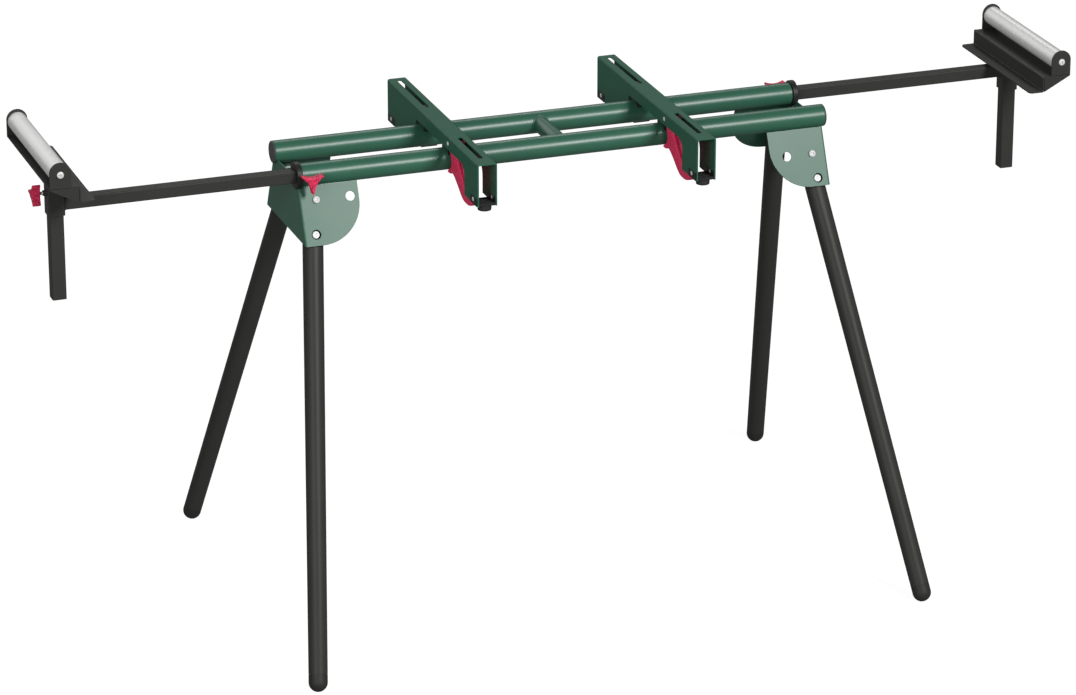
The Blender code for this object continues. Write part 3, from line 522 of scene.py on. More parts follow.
def main_tube(name, turn):
    inner = TUBE_R - TUBE_WALL
    left, right = tube_box.low.x, tube_box.high.x
    wall = [(TUBE_R, left), (TUBE_R, right), (inner, right), (inner, left)]
    pipe = lathe(name + "_pipe", eased(wall, EASE, 3), turn @ on_front_tube, 128, closed=True)
    foot = turn @ standing((KNOB_X, -TUBE_Y - TUBE_R + SUNK, KNOB_Z), (0, -1, 0))
    stud_boss = boss(name + "_boss", foot, BOSS_LONG + SUNK)
    ring = []
    for x, z in circle((KNOB_X, KNOB_Z), 0.0056, 36):
        ring.append((x, -TUBE_Y - math.sqrt(TUBE_R ** 2 - (z - TUBE_Z) ** 2), z))
    return weld_up(name + "_dressed", pipe, stud_boss, bead(name + "_bead", ring, 0.0011, turn))


for side, turn in ENDS:
    dress(main_tube(side + "_tube", turn), green_coat, "frame", side + "_tube")

# %% [markdown]
# ## Cross tube
# A short tube joins the two at the middle. Its ends are fish-mouthed to sit on the round
# tubes, so each vertex of an end ring is moved to where it meets the main tube. A rippled
# weld bead runs round each joint.

# %% Cross tube with saddle ends
CROSS_R = box_of("cross_tube").size.x / 2


def saddle_depth(height):
    return TUBE_Y - math.sqrt(TUBE_R ** 2 - height ** 2)


def cross_tube():
    bm = bmesh.new()
    around = 96
    rings = []
    for k in range(9):
        share = -1 + 2 * k / 8
        rings.append([bm.verts.new((x, share * saddle_depth(h), TUBE_Z + h))
                      for x, h in circle((0, 0), CROSS_R, around)])
    for lower, upper in zip(rings, rings[1:]):
        for i in range(around):
            j = (i + 1) % around
            bm.faces.new((lower[i], lower[j], upper[j], upper[i]))
    pipe = finish_mesh("cross_pipe", bm, HERE)
    beads = []
    for side in (-1, 1):
        ring = []
        for i in range(120):
            a = math.tau * i / 120
            r = CROSS_R + 0.0004 + 0.0003 * math.sin(30 * a)
            height = r * math.sin(a)
            ring.append((r * math.cos(a), side * (saddle_depth(height) - 0.0006), TUBE_Z + height))
        beads.append(bead("cross_bead", ring, 0.0016))
    return weld_up("cross_tube_dressed", pipe, *beads)


dress(cross_tube(), green_coat, "frame", "cross_tube")

# %% [markdown]
# ## Collars and caps
# The arm slides in a black collar: a ring outside the tube, a spigot inside, and a square
# window for the bar. The other end of each tube has a thin pressed-in cap.

# %% Collars and caps
WINDOW = BAR + 0.0008
RING_LONG = 0.0100
SPIGOT_R = TUBE_R - TUBE_WALL - GAP


def tube_collar(name, turn):
    window = slab(WINDOW, WINDOW, 0.0008, 3)
    parts = []
    start = collar_box.low.x
    for radius, long, edge in ((COLLAR_R, RING_LONG, 0.0014),
                               (SPIGOT_R, collar_box.size.x - RING_LONG, 0.0003)):
        place = turn @ standing((start + long / 2, -TUBE_Y, TUBE_Z), (1, 0, 0), (0, 1, 0))
        parts.append(stamp(name + "_part", circle((0, 0), radius, 96), [window], long, place, edge, 4))
        start += long
    return weld_up(name + "_dressed", *parts)


def tube_cap(name, turn):
    cap_box = box_of("front_tube_cap")
    long = cap_box.size.x
    flange = long - 0.0120
    inner = SPIGOT_R - 0.002
    profile = [(0, 0), (TUBE_R - 0.0014, 0), (TUBE_R, -0.0012), (TUBE_R, -flange), (SPIGOT_R, -flange),
               (SPIGOT_R, -long), (inner, -long), (inner, -flange), (0, -flange)]
    place = turn @ move(cap_box.high.x, 0, 0) @ on_front_tube
    return lathe(name + "_dressed", eased(profile, EASE, 3, closed=False), place)


for side, turn in ENDS:
    dress(tube_collar(side + "_tube_collar", turn), black_plastic, "frame", side + "_tube_collar")
    dress(tube_cap(side + "_tube_cap", turn), grey_plastic, "frame", side + "_tube_cap")

# %% [markdown]
# ## Leg brackets
# One sheet is folded into an end panel and two sloping cheeks, and welded under both tubes.
# The panel's outline climbs between the tubes and follows them round. Panel and cheeks are
# flat plates, each with its holes, and a quarter-round strip between them is the fold. The
# strip's lower end is sheared, because the cheeks lean and the panel's edge is level.

# %% Leg bracket sizes
panel_box = box_of("left_leg_bracket")
PANEL_X = -panel_box.low.x
PANEL_FOOT = TUBE_Z - 0.1148
PANEL_TOP = panel_box.high.z
PANEL_HALF = panel_box.high.y
TILT = math.radians(24.03)
FOLD_R = 0.0028
CHEEK_INNER = -panel_box.high.x
CHEEK_ARC = 0.0740
CHEEK_MISS = 0.0012
PIVOT_RISE = {"left": 0.0801, "right": 0.0588}
BUTTON_RISE = {"left": 0.0198, "right": 0.0147}
SPARE_X = {"left": 0.3994, "right": 0.4163}
HOLE_R = 0.0085
LEG_X0 = 0.4718
LEG_LEAN = math.atan(0.1283)
cheek_high = (TUBE_Z - PANEL_FOOT) * math.cos(TILT) + (PANEL_HALF - TUBE_Y) * math.sin(TILT)


def way_out(side, rear=False):
    return (-1 if side == "left" else 1) * (-1 if rear else 1)


def leg_x(rise):
    return LEG_X0 - math.tan(LEG_LEAN) * rise


def cheek_place(rear):
    turn = HALF_TURN if rear else HERE
    return turn @ move(0, -PANEL_HALF, PANEL_FOOT) @ Matrix.Rotation(math.pi / 2 - TILT, 4, "X")


# %% Leg bracket plates and folds
def panel_outline(front_r, rear_r):
    half = PANEL_HALF - FOLD_R / math.cos(TILT)
    radii = (front_r, rear_r)
    steep = {r: math.degrees(TILT - math.asin((FOLD_R - CHEEK_MISS) / r)) - 90 for r in radii}
    flat = {r: math.degrees(math.asin((PANEL_TOP - TUBE_Z) / r)) for r in radii}
    points = [(-half, PANEL_FOOT), (half, PANEL_FOOT)]
    points += arc((TUBE_Y, TUBE_Z), rear_r, steep[rear_r], -180 - flat[rear_r], 24)
    points += arc((-TUBE_Y, TUBE_Z), front_r, flat[front_r], -180 - steep[front_r], 24)
    return points


def fold_strip(name, flip, high, place):
    centre = (PANEL_X - FOLD_R, -FOLD_R)
    ring = arc(centre, FOLD_R, 0, 90, 8) + arc(centre, FOLD_R - PLATE, 90, 0, 4)
    along = move(0, high / 2, 0) @ ON_XZ
    strip = stamp(name, [(flip * x, z) for x, z in ring], [], high, place @ along, 0.0001, 0)
    for vert in strip.data.vertices:
        vert.co.z += vert.co.y * math.tan(TILT) * (0.5 + vert.co.z / high)
    return strip


def leg_bracket(side):
    snug = TUBE_R + GAP
    wide = COLLAR_R + GAP
    radii = (wide, snug) if side == "left" else (snug, wide)
    spy = circle((0.0408, 0.8088), 0.0016, 18)
    plates = [stamp(side + "_panel", panel_outline(*radii), [spy], PLATE,
                    move(way_out(side) * (PANEL_X - PLATE / 2), 0, 0) @ ON_YZ, 0.0003, 2)]
    for rear in (False, True):
        flip = way_out(side, rear)
        collared = (side == "left") != rear
        top = cheek_high - snug
        notch = cheek_high - (wide if collared else snug)
        edge_x = -collar_box.low.x - RING_LONG - GAP
        outer = [(PANEL_X - FOLD_R, 0), (PANEL_X - FOLD_R, notch)]
        if collared:
            outer += [(edge_x, notch), (edge_x, top)]
        outer += [(CHEEK_INNER, top)]
        outer += arc((CHEEK_INNER + CHEEK_ARC, CHEEK_ARC), CHEEK_ARC, 180, 270, 40)
        holes = []
        for x, v in ((leg_x(BUTTON_RISE[side]), BUTTON_RISE[side]), (SPARE_X[side], PIVOT_RISE[side])):
            holes.append(circle((flip * x, v), HOLE_R, 48))
        place = cheek_place(rear)
        plates.append(stamp(side + "_cheek", [(flip * x, v) for x, v in outer], holes, PLATE,
                            place @ move(0, 0, -PLATE / 2), 0.0003, 2))
        plates.append(fold_strip(side + "_fold", flip, notch, place))
    return weld_up(side + "_leg_bracket_dressed", *plates)


for side in ("left", "right"):
    dress(leg_bracket(side), cheek_coat, "frame", side + "_leg_bracket")

# %% [markdown]
# ## Legs
# A leg is a tube that tapers slightly and ends in a dome, pressed flat where the pivot goes
# through. It is turned first; then the vertices near the pivot are pushed in to the flats.
# The foot cap sits flush on the tube, which runs on inside it, so no light comes through.
# Its lean goes into its mesh, so that its box ends where the rubber meets the floor.

# %% Legs, foot caps, lock buttons and pivots
LEG_IN = 0.0248
FOOT_R = 0.0167
TOP_R = 0.0185
LEG_FLAT = 0.0170
CAP_SLEEVE = 0.0140


def leg_place(side, rear):
    flip = way_out(side, rear)
    rise = PIVOT_RISE[side]
    hub = cheek_place(rear) @ move(flip * leg_x(rise), rise, -LEG_IN)
    return hub @ Matrix.Rotation(flip * LEG_LEAN, 4, "Z") @ Matrix.Rotation(-math.pi / 2, 4, "X")


def leg_long(side):
    foot_rise = (FOOT_R - PANEL_FOOT + LEG_IN * math.sin(TILT)) / math.cos(TILT)
    return (PIVOT_RISE[side] - foot_rise) / math.cos(LEG_LEAN)


def leg_tube(name, side, place):
    long = leg_long(side)
    slope = (TOP_R - FOOT_R) / long
    seam = CAP_SLEEVE - long
    seam_r = TOP_R + slope * seam
    profile = [(r, z) for z, r in arc((0, 0), TOP_R, 0, 90, 18)]
    profile += [(TOP_R + slope * seam * k / 12, seam * k / 12) for k in range(1, 13)]
    inner = seam_r - 0.0015
    tail = seam - 0.004
    profile += [(inner, seam), (inner, tail), (seam_r - 0.003, tail)]
    leg = lathe(name, profile, place, 96)
    for vert in leg.data.vertices:
        if vert.co.z > -0.030:
            limit = LEG_FLAT + 0.0015 * min(1.0, max(0.0, (-0.014 - vert.co.z) / 0.016))
            vert.co.y = max(-limit, min(limit, vert.co.y))
    return leg


def foot_cap(name, side, place):
    long = leg_long(side)
    seam_r = FOOT_R + (TOP_R - FOOT_R) * CAP_SLEEVE / long
    rim = CAP_SLEEVE - GAP
    profile = [(seam_r - 0.0012, rim), (seam_r, rim)]
    profile += [(r, -z) for r, z in arc((0, 0), FOOT_R, 0, 90, 24)]
    profile[-1] = (0, -FOOT_R)
    cap = lathe(name, profile, place @ move(0, 0, -long), 96)
    cap.data.transform(cap.matrix_world)
    cap.matrix_world = HERE
    return cap


def star_recess(place, width, deep, share=0.24):
    return [cutter(slab(width, width * share), deep * 2, place @ Matrix.Rotation(quarter, 4, "Z"))
            for quarter in (0, math.pi / 2)]


# %% [markdown]
# The pivot is a rivet with a small six-sided socket in its nearly flat head, undercut at the
# rim, where it stands on the cheek. The lock button is a flat disc with a shallow cross,
# which looks out of a larger hole and leaves a dark ring round itself.


# %% Pivot rivet and lock button
def pivot_rivet(name, place):
    top = 0.0045
    head = [(0, top), (0.0030, 0.0044), (0.0052, 0.0040), (0.0061, 0.0032), (0.0065, 0.0020),
            (0.0064, 0.0015)]
    shank = [(0.0052, GAP), (0.0040, GAP), (0.0040, -0.0023), (0.0090, -0.0023), (0.0090, -0.0075),
             (0.0040, -0.0075), (0.0040, -0.0421), (0.0065, -0.0421), (0.0065, -0.0433),
             (0.0045, -0.0463), (0, -0.0463)]
    rivet = lathe(name, head + shank, place, 64)
    return carve(rivet, cutter(circle((0, 0), 0.0026, 6), 0.0040, place @ move(0, 0, top)))


def lock_button(name, place):
    face = LEG_IN - PLATE - GAP
    top = place @ move(0, -face, 0) @ Matrix.Rotation(math.pi / 2, 4, "X")
    profile = [(0, -0.0130), (0.0065, -0.0130)] + arc((0.0055, -0.0010), 0.0010, 0, 90, 8) + [(0, 0)]
    return carve(lathe(name, profile, top, 64), *star_recess(top, 0.0062, 0.0009, 0.22))


for side in ("left", "right"):
    for end in ("front", "rear"):
        rear = end == "rear"
        hub = leg_place(side, rear)
        tag = side + "_" + end
        dress(leg_tube(tag + "_leg_dressed", side, hub), black_coat, tag + "_leg", tag + "_leg")
        dress(foot_cap(tag + "_foot_cap_dressed", side, hub), rubber, tag + "_leg", tag + "_foot_cap")
        drop = (PIVOT_RISE[side] - BUTTON_RISE[side]) / math.cos(LEG_LEAN)
        button = lock_button(tag + "_lock_button_dressed", hub @ move(0, 0, -drop))
        dress(button, zinc, tag + "_button", tag + "_lock_button")
        rise = PIVOT_RISE[side]
        spot = cheek_place(rear) @ move(way_out(side, rear) * leg_x(rise), rise, 0)
        dress(pivot_rivet(tag + "_leg_pivot_dressed", spot), zinc, "frame", tag + "_leg_pivot")
print("legs are", round(leg_long("left") * 1000), "and", round(leg_long("right") * 1000), "mm long")

# %% [markdown]
# ## Arms
# Each arm is a square bar that ends in a square sleeve, both rolled sections with rounded
# corners. The right arm is the left one turned over, so its sleeve hangs lower.

# %% Square bars, sleeves and posts
OVER = move(0, -TUBE_Y, TUBE_Z) @ Matrix.Rotation(math.pi, 4, "X") @ move(0, TUBE_Y, -TUBE_Z)
WALL = 0.0020
CLAMP_Z = TUBE_Z + 0.0205
SIDES = (("left", HERE, HERE), ("right", HALF_TURN, HALF_TURN @ OVER))


def square_tube(name, side, long, place, corner=0.0028):
    outer = slab(side, side, corner, 6)
    inner = slab(side - 2 * WALL, side - 2 * WALL, corner * 0.5, 4)
    return stamp(name, outer, [inner], long, place, 0.0003, 2)


def arm_sleeve(name, turn):
    inner = slab(POST + 0.0008, POST + 0.0008, 0.0012, 4)
    body = stamp(name + "_tube", slab(SLEEVE, SLEEVE, 0.0030, 6), [inner], sleeve_box.size.z,
                 turn @ move(-POST_X, -TUBE_Y, sleeve_box.mid.z), 0.0004, 2)
    face = -POST_X - SLEEVE / 2
    root = face + 0.001
    foot = turn @ standing((root, -TUBE_Y, CLAMP_Z), (-1, 0, 0), (0, 1, 0))
    stud_boss = boss(name + "_boss", foot, root - sleeve_box.low.x)
    ring = [(face - 0.0001, y, z) for y, z in circle((-TUBE_Y, CLAMP_Z), 0.0055, 36)]
    joint = face + SLEEVE + 0.0004
    seam = [(joint, y - TUBE_Y, z + TUBE_Z) for y, z in slab(BAR, BAR, 0.003, 4)]
    return weld_up(name + "_dressed", body, stud_boss, bead(name + "_bead", ring, 0.0009, turn),
                   bead(name + "_joint_bead", seam, 0.0013, turn))


for side, turn, arm_turn in SIDES:
    place = arm_turn @ move(bar_box.mid.x, 0, 0) @ on_front_tube
    bar = square_tube(side + "_arm_bar_dressed", BAR, bar_box.size.x, place)
    dress(bar, black_coat, side + "_arm", side + "_arm_bar")
    dress(arm_sleeve(side + "_arm_sleeve", arm_turn), black_coat, side + "_arm", side + "_arm_sleeve")
    post_box = box_of(side + "_head_post")
    place = turn @ move(-POST_X, -TUBE_Y, post_box.mid.z)
    post = square_tube(side + "_head_post_dressed", POST, post_box.size.z, place, 0.0030)
    dress(post, black_coat, side + "_head", side + "_head_post")

# %% [markdown]
# ## Roller heads
# The head is one bent strip: a deck over the post, a riser down its inner side, and a ledge
# that runs inward, where a workpiece can rest. We draw the strip's side view with its bends,
# measured from the roller's axis, and extrude it along the head. Its deck stops short of the
# ends, where an arched plate stands on it and a gusset hangs below. The narrow slits between
# them are what reads as welded-in plates.

# %% Roller head sheet
ROLLER_OUT = 0.0147
ARCH_HALF = 0.0186
ARCH_TOP = 0.0212
DECK_TOP = -0.0248
DECK_LOW = DECK_TOP - SHEET
LEDGE_TOP = -0.0519
LEDGE_LOW = LEDGE_TOP - SHEET
RISER_OUT = 0.0176
RISER_IN = RISER_OUT + SHEET
LEDGE_X = 0.0456
EDGE_X = -ROLLER_OUT - ARCH_HALF
SLIT = 0.0007
head_box = box_of("left_roller_frame")
HEAD_MID = head_box.mid.y
HEAD_LONG = head_box.size.y
print("roller head is", round(HEAD_LONG * 1000), "mm long")


def head_strip(name, place):
    upper = [(EDGE_X, DECK_TOP), (RISER_IN, DECK_TOP), (RISER_IN, LEDGE_TOP), (LEDGE_X, LEDGE_TOP)]
    lower = [(LEDGE_X, LEDGE_LOW), (RISER_OUT, LEDGE_LOW), (RISER_OUT, DECK_LOW), (EDGE_X, DECK_LOW)]
    bends = (0, 0.0038, 0.0014, 0)
    profile = eased(upper, bends, 5, closed=False) + eased(lower, bends, 5, closed=False)
    strip = stamp(name, profile, [], HEAD_LONG - 0.0004, place @ ON_XZ, 0.0003, 1)
    cutters = []
    r = 0.0080
    past = LEDGE_X + 0.001
    for end in (-1, 1):
        y = end * (HEAD_LONG / 2)
        corner = arc((LEDGE_X - r, y - end * r), r, end * 90, 0, 12)
        corner += [(past, y - end * r), (past, y + end * 0.001), (LEDGE_X - r, y + end * 0.001)]
        cutters.append(cutter(corner, 0.008, place @ move(0, 0, LEDGE_TOP)))
        wide = RISER_OUT - SLIT / 2 - EDGE_X + 0.004
        y = end * (HEAD_LONG / 2 - SHEET / 2 - GAP / 2 + 0.002)
        at = move(EDGE_X - 0.004 + wide / 2, y, DECK_TOP)
        cutters.append(cutter(slab(wide, SHEET + GAP + 0.004), 0.012, place @ at))
    return carve(strip, *cutters, edge=0.0003)


def end_plates(name, place, end):
    at = place @ move(0, end * (HEAD_LONG - SHEET) / 2, 0) @ ON_XZ
    arch = arc((-ROLLER_OUT, ARCH_TOP - ARCH_HALF), ARCH_HALF, 0, 180, 40)
    arch += [(EDGE_X, DECK_TOP - GAP), (-ROLLER_OUT + ARCH_HALF, DECK_TOP - GAP)]
    top = DECK_TOP - GAP - SLIT
    inner = RISER_OUT - SLIT
    gusset = [(EDGE_X, DECK_LOW), (inner, LEDGE_LOW + 0.0007), (inner, top), (EDGE_X, top)]
    return [stamp(name + "_arch", arch, [circle((-ROLLER_OUT, 0), 0.0033, 24)], SHEET, at, 0.0004, 3),
            stamp(name + "_gusset", gusset, [], SHEET, at, 0.0003, 2)]


# %% [markdown]
# The roller is a drawn tube with plugs pressed into its ends, and turns on two pan-head
# screws. A cross recess in a screw head is two crossed slots, cut with a Boolean.


# %% Roller and its screws
def roller(name, place):
    half = roller_box.size.y / 2
    r = ROLLER_R
    plug = [(0, half - 0.003), (0.0125, half - 0.003), (0.0140, half - 0.0008), (0.0150, half),
            (r - EASE, half)]
    skin = [(r, (half - 0.0008) * (1 - k / 6)) for k in range(13)]
    profile = plug + skin + [(x, -z) for x, z in reversed(plug)]
    return lathe(name, profile, place @ standing((-ROLLER_OUT, 0, 0), (0, 1, 0)), 128)


def pan_screw(name, place):
    top = 0.0040
    head = [(0, top), (0.0028, 0.0039), (0.0048, 0.0036), (0.0058, 0.0028), (0.0062, 0.0016),
            (0.0061, 0.0011)]
    shank = [(0.0055, GAP), (0.0030, GAP), (0.0030, -0.0160), (0.0024, -0.0170), (0, -0.0170)]
    screw = lathe(name, head + shank, place, 64)
    return carve(screw, *star_recess(place @ move(0, 0, top), 0.0052, 0.0010, 0.18))


for side, turn, arm_turn in SIDES:
    place = turn @ move(-POST_X, HEAD_MID, box_of(side + "_roller").mid.z)
    name = side + "_roller_frame"
    sheets = [head_strip(name, place)] + end_plates(name, place, -1) + end_plates(name, place, 1)
    dress(weld_up(name + "_dressed", *sheets), black_coat, side + "_head", name)
    dress(roller(side + "_roller_dressed", place), roller_skin, side + "_roller", side + "_roller")
    for tag, way in (("near", -1), ("far", 1)):
        at = place @ standing((-ROLLER_OUT, way * HEAD_LONG / 2, 0), (0, way, 0))
        name = side + "_" + tag + "_roller_screw"
        dress(pan_screw(name + "_dressed", at), zinc, side + "_head", name)

# %% [markdown]
# ## Clamp knobs
# A knob has three blunt wings with hollow sides, for thumb and fingers. Between two wing
# tips the side is a parabola that dips to the knob's waist, so one side is drawn and turned
# three times. The stud is turned with small rings, which read as a thread at this size.

# %% Clamp knob
KNOB_TIP = 0.0214
KNOB_TIP_HALF = 0.0019
KNOB_VALLEY = 0.0080
KNOB_THICK = 0.0146
KNOB_ROUND = 0.0014
HUB_R = 0.0070
HUB_LONG = 0.0160
KNOB_OFF = 0.0107
STUD_R = 0.0030
PITCH = 0.0010


def knob_outline():
    third = Matrix.Rotation(math.radians(120), 2)
    tip = Vector((KNOB_TIP_HALF, -KNOB_TIP))
    next_tip = third @ Vector((-KNOB_TIP_HALF, -KNOB_TIP))
    middle = (tip + next_tip) / 2
    hollow = middle.normalized() * KNOB_VALLEY - middle
    side = [tip.lerp(next_tip, k / 16) + hollow * 4 * k / 16 * (1 - k / 16) for k in range(17)]
    points = []
    for wing in range(3):
        points += [tuple(point) for point in side]
        side = [third @ point for point in side]
    return eased(points, 0.0010, 3)


def clamp_knob(name, place, face, stud_from, body):
    middle = place @ move(0, 0, face + HUB_LONG / 2)
    grip = stamp(name + "_grip", knob_outline(), [], KNOB_THICK, middle, KNOB_ROUND, 4)
    end = face + HUB_LONG
    profile = eased([(0, face), (HUB_R, face), (HUB_R, end), (0, end)], KNOB_ROUND, 4, closed=False)
    hub = lathe(name + "_hub", profile, place, 64)
    dress(weld_up(name + "_dressed", grip, hub), red_plastic, body, name)
    thread = [(0, stud_from), (STUD_R - 0.0006, stud_from)]
    for k in range(int((face - stud_from) / PITCH)):
        foot = stud_from + PITCH * k
        thread += [(STUD_R - 0.0004, foot + 0.3 * PITCH), (STUD_R, foot + 0.6 * PITCH)]
    thread += [(STUD_R - 0.0004, face + 0.0005), (0, face + 0.0005)]
    dress(lathe(name + "_stud", thread, place, 48), zinc, body)


for side, turn, arm_turn in SIDES:
    place = (arm_turn @ move(-POST_X, -TUBE_Y, CLAMP_Z) @ Matrix.Rotation(-math.pi / 2, 4, "Y")
             @ Matrix.Rotation(math.pi, 4, "Z"))
    name = side + "_sleeve_knob"
    clamp_knob(name, place, SLEEVE / 2 + KNOB_OFF, POST / 2 + GAP, name)
    name = ("front" if side == "left" else "rear") + "_tube_knob"
    place = turn @ move(KNOB_X, -TUBE_Y, KNOB_Z) @ Matrix.Rotation(math.pi / 2, 4, "X")
    clamp_knob(name, place, TUBE_R + KNOB_OFF - GAP, BAR / 2 + GAP, name)

# %% [markdown]
# ## Saw brackets
# Each saw bracket is a pressed channel, open below, with deep legs at both ends and long
# slots in its roof for the saw's bolts. It starts as a channel section with round bends,
# extruded along its length, and the window between the legs, the corner notches, the slots
# and the pin hole are carved out of it.

# %% Channel of a saw bracket
channel_box = box_of("left_saw_bracket")
HALF_WIDE = channel_box.size.x / 2
HALF_INNER = HALF_WIDE - SHEET
REACH = channel_box.size.y / 2
ROOF = channel_box.high.z
FOOT = channel_box.low.z
BELOW = FOOT - 0.02
THROUGH = 0.10
MID_EDGE = 0.8480
FRONT_LEG_Y = -0.1800
REAR_LEG_Y = 0.0890
SLOTS = ((-0.2170, -0.1020), (0.0777, 0.2380))
SLOT_R = 0.00425
INSERT_LONG = 0.0360
INSERT_HIGH = 0.0135
INSERT_LIP = 0.0025
PIN_Y = -0.0930
PIN_Z = 0.8600
PIN_HOLE_R = 0.0028


def channel(name, x):
    section = [(-HALF_WIDE, FOOT), (-HALF_WIDE, ROOF), (HALF_WIDE, ROOF), (HALF_WIDE, FOOT)]
    ceiling = ROOF - SHEET
    hollow = [(HALF_INNER, FOOT), (HALF_INNER, ceiling), (-HALF_INNER, ceiling), (-HALF_INNER, FOOT)]
    points = eased(section, 0.0042, 8, closed=False) + eased(hollow, 0.0018, 5, closed=False)
    at = move(x, 0, 0)
    body = stamp(name, points, [], 2 * REACH, at @ ON_XZ, 0.0002, 1)
    window = [(REAR_LEG_Y, BELOW), (REAR_LEG_Y, MID_EDGE - 0.004), (REAR_LEG_Y - 0.004, MID_EDGE)]
    window += arc((FRONT_LEG_Y + 0.018, MID_EDGE - 0.023), 0.018, 90, 180, 12, 0.023)
    window += [(FRONT_LEG_Y, BELOW)]
    cutters = [cutter(window, THROUGH, at @ ON_YZ)]
    near = REACH - INSERT_LIP + GAP
    far = near - INSERT_LONG - 2 * GAP
    top = FOOT + INSERT_HIGH + GAP
    for sign in (-1, 1):
        notch = [(sign * near, BELOW), (sign * near, top), (sign * far, top), (sign * far, BELOW)]
        cutters.append(cutter(notch, THROUGH, at @ ON_YZ))
    for a, b in SLOTS:
        slot = arc((0, b - 0.0015), SLOT_R, 12, 168, 8) + arc((0, a + 0.0015), SLOT_R, 192, 348, 8)
        cutters.append(cutter(slot, 0.02, at @ move(0, 0, ROOF)))
    cutters.append(cutter(circle((PIN_Y, PIN_Z), PIN_HOLE_R, 24), THROUGH, at @ ON_YZ))
    return carve(body, *cutters, edge=0.00035)


# %% [markdown]
# Black inserts close the lower corners at both ends: two outer bands and a ribbed floor
# between the walls. Each band is riveted through, so a bright head shows outside and a
# smaller one inside. A rubber pad sits under the front insert.

# %% Corner inserts, rivets and pad
RIVET_Y = -0.2290
RIVET_Z = FOOT + 0.0088
PROUD = 0.0010
insert_front = INSERT_LIP - REACH


def corner_insert(name, place):
    far = insert_front + INSERT_LONG
    top = FOOT + INSERT_HIGH
    band = eased([(insert_front, FOOT), (far, FOOT), (far, top), (insert_front, top)], 0.0012, 3)
    wall = SHEET + PROUD
    parts = []
    for sign in (-1, 1):
        at = place @ move(sign * (HALF_INNER + wall / 2), 0, 0) @ ON_YZ
        parts.append(stamp(name + "_band", band, [], wall, at, 0.0004, 2))
    long = INSERT_LONG - 0.0035
    wide = 2 * HALF_INNER + 0.001
    parts.append(stamp(name + "_floor", slab(wide, long, EASE, 2), [], 0.0030,
                       place @ move(0, insert_front + long / 2, FOOT + 0.0015), 0.0003, 1))
    for share in (0.0, 0.34, 0.67, 1.0):
        y = insert_front + 0.0010 + (long - 0.0020) * share
        parts.append(stamp(name + "_rib", slab(wide, 0.0014), [], 0.0054,
                           place @ move(0, y, FOOT + 0.0028), 0.0003, 1))
    return weld_up(name + "_dressed", *parts)


def insert_rivets(name, place):
    heads = []
    dome = [(1.0, 0.0), (0.97, 0.35), (0.82, 0.70), (0.55, 0.92), (0.25, 1.0), (0.0, 1.0)]
    for sign in (-1, 1):
        for wall, way, radius, high in ((HALF_WIDE + PROUD, sign, 0.0040, 0.0010),
                                        (HALF_INNER, -sign, 0.0030, 0.0007)):
            at = place @ standing((sign * wall, RIVET_Y, RIVET_Z), (way, 0, 0), (0, 1, 0))
            profile = [(radius * r, high * h) for r, h in dome]
            profile += [(0, -0.0008), (radius, -0.0008), (radius, 0)]
            heads.append(lathe(name + "_head", profile, at, 40))
    return weld_up(name, *heads)


def rubber_pad(name, x):
    pad_box = box_of("left_bracket_pad")
    r = pad_box.size.x / 2
    low = pad_box.low.z
    top = FOOT - GAP
    plug = FOOT + 0.003
    side = [(0.0055, low), (r - EASE, low), (r, low + 0.002), (r, top), (0.004, top)]
    profile = [(0, low + EASE), (0.0050, low + EASE), (0.0055, low)]
    profile += eased(side, 0.0008, 4, closed=False)[1:] + [(0.004, plug), (0, plug)]
    return lathe(name, profile, move(x, pad_box.mid.y, 0), 80)


# %% [markdown]
# ## Clamp lever
# The lever turns on a pin through both walls. Its side view is one outline: a long curved
# grip, a hook under the tube and an eye for the pin. Its long edges are well rounded. The
# grip grows narrower to the front, so each side leans in. A groove is cut along the grip's
# face between two ribs, and a fork gap above the tube leaves the bolt slot free.

# %% Clamp lever and its pin
GRIP = [(-0.0393, 0.0244), (-0.0488, 0.0163), (-0.0669, -0.0059), (-0.0844, -0.0275),
        (-0.0961, -0.0358), (-0.1070, -0.0386), (-0.1154, -0.0363)]
TOE = [(-0.1191, -0.0386), (-0.1170, -0.0465), (-0.1128, -0.0520), (-0.1045, -0.0544)]
BELLY = [(-0.0957, -0.0548), (-0.0809, -0.0527), (-0.0697, -0.0456), (-0.0548, -0.0326),
         (-0.0399, -0.0213), (-0.0304, -0.0174), (-0.0252, -0.0205), (-0.0212, -0.0221)]
LIP = [(-0.0118, -0.0224), (-0.0097, -0.0187), (-0.0176, -0.0138), (-0.0243, -0.0089),
       (-0.0281, -0.0010), (-0.0264, 0.0094), (-0.0226, 0.0177)]
EYE_R = 0.0060
LEVER_ROUND = 0.0026
RIB = 0.0046
GROOVE = 0.0026
lever_half = HALF_INNER - 2 * GAP


def from_tube(points):
    return [(y - TUBE_Y, z + TUBE_Z) for y, z in points]


def lean_in(piece):
    rear = LIP[1][0] - TUBE_Y
    for vert in piece.data.vertices:
        vert.co.z -= math.copysign(0.07 * (rear - vert.co.x), vert.co.z)
    return piece


def groove_outline():
    spine = [Vector(point) for point in from_tube(GRIP)]
    spine[0] = spine[0].lerp(spine[1], 0.4)
    spine[-1] = spine[-1].lerp(spine[-2], 0.4)
    outer, inner = [], []
    for i, spot in enumerate(spine):
        run = (spine[min(i + 1, len(spine) - 1)] - spine[max(i - 1, 0)]).normalized()
        away = Vector((run.y, -run.x))
        outer.append(tuple(spot + away * 4 * GROOVE))
        inner.append(tuple(spot - away * GROOVE))
    return outer + inner[::-1]


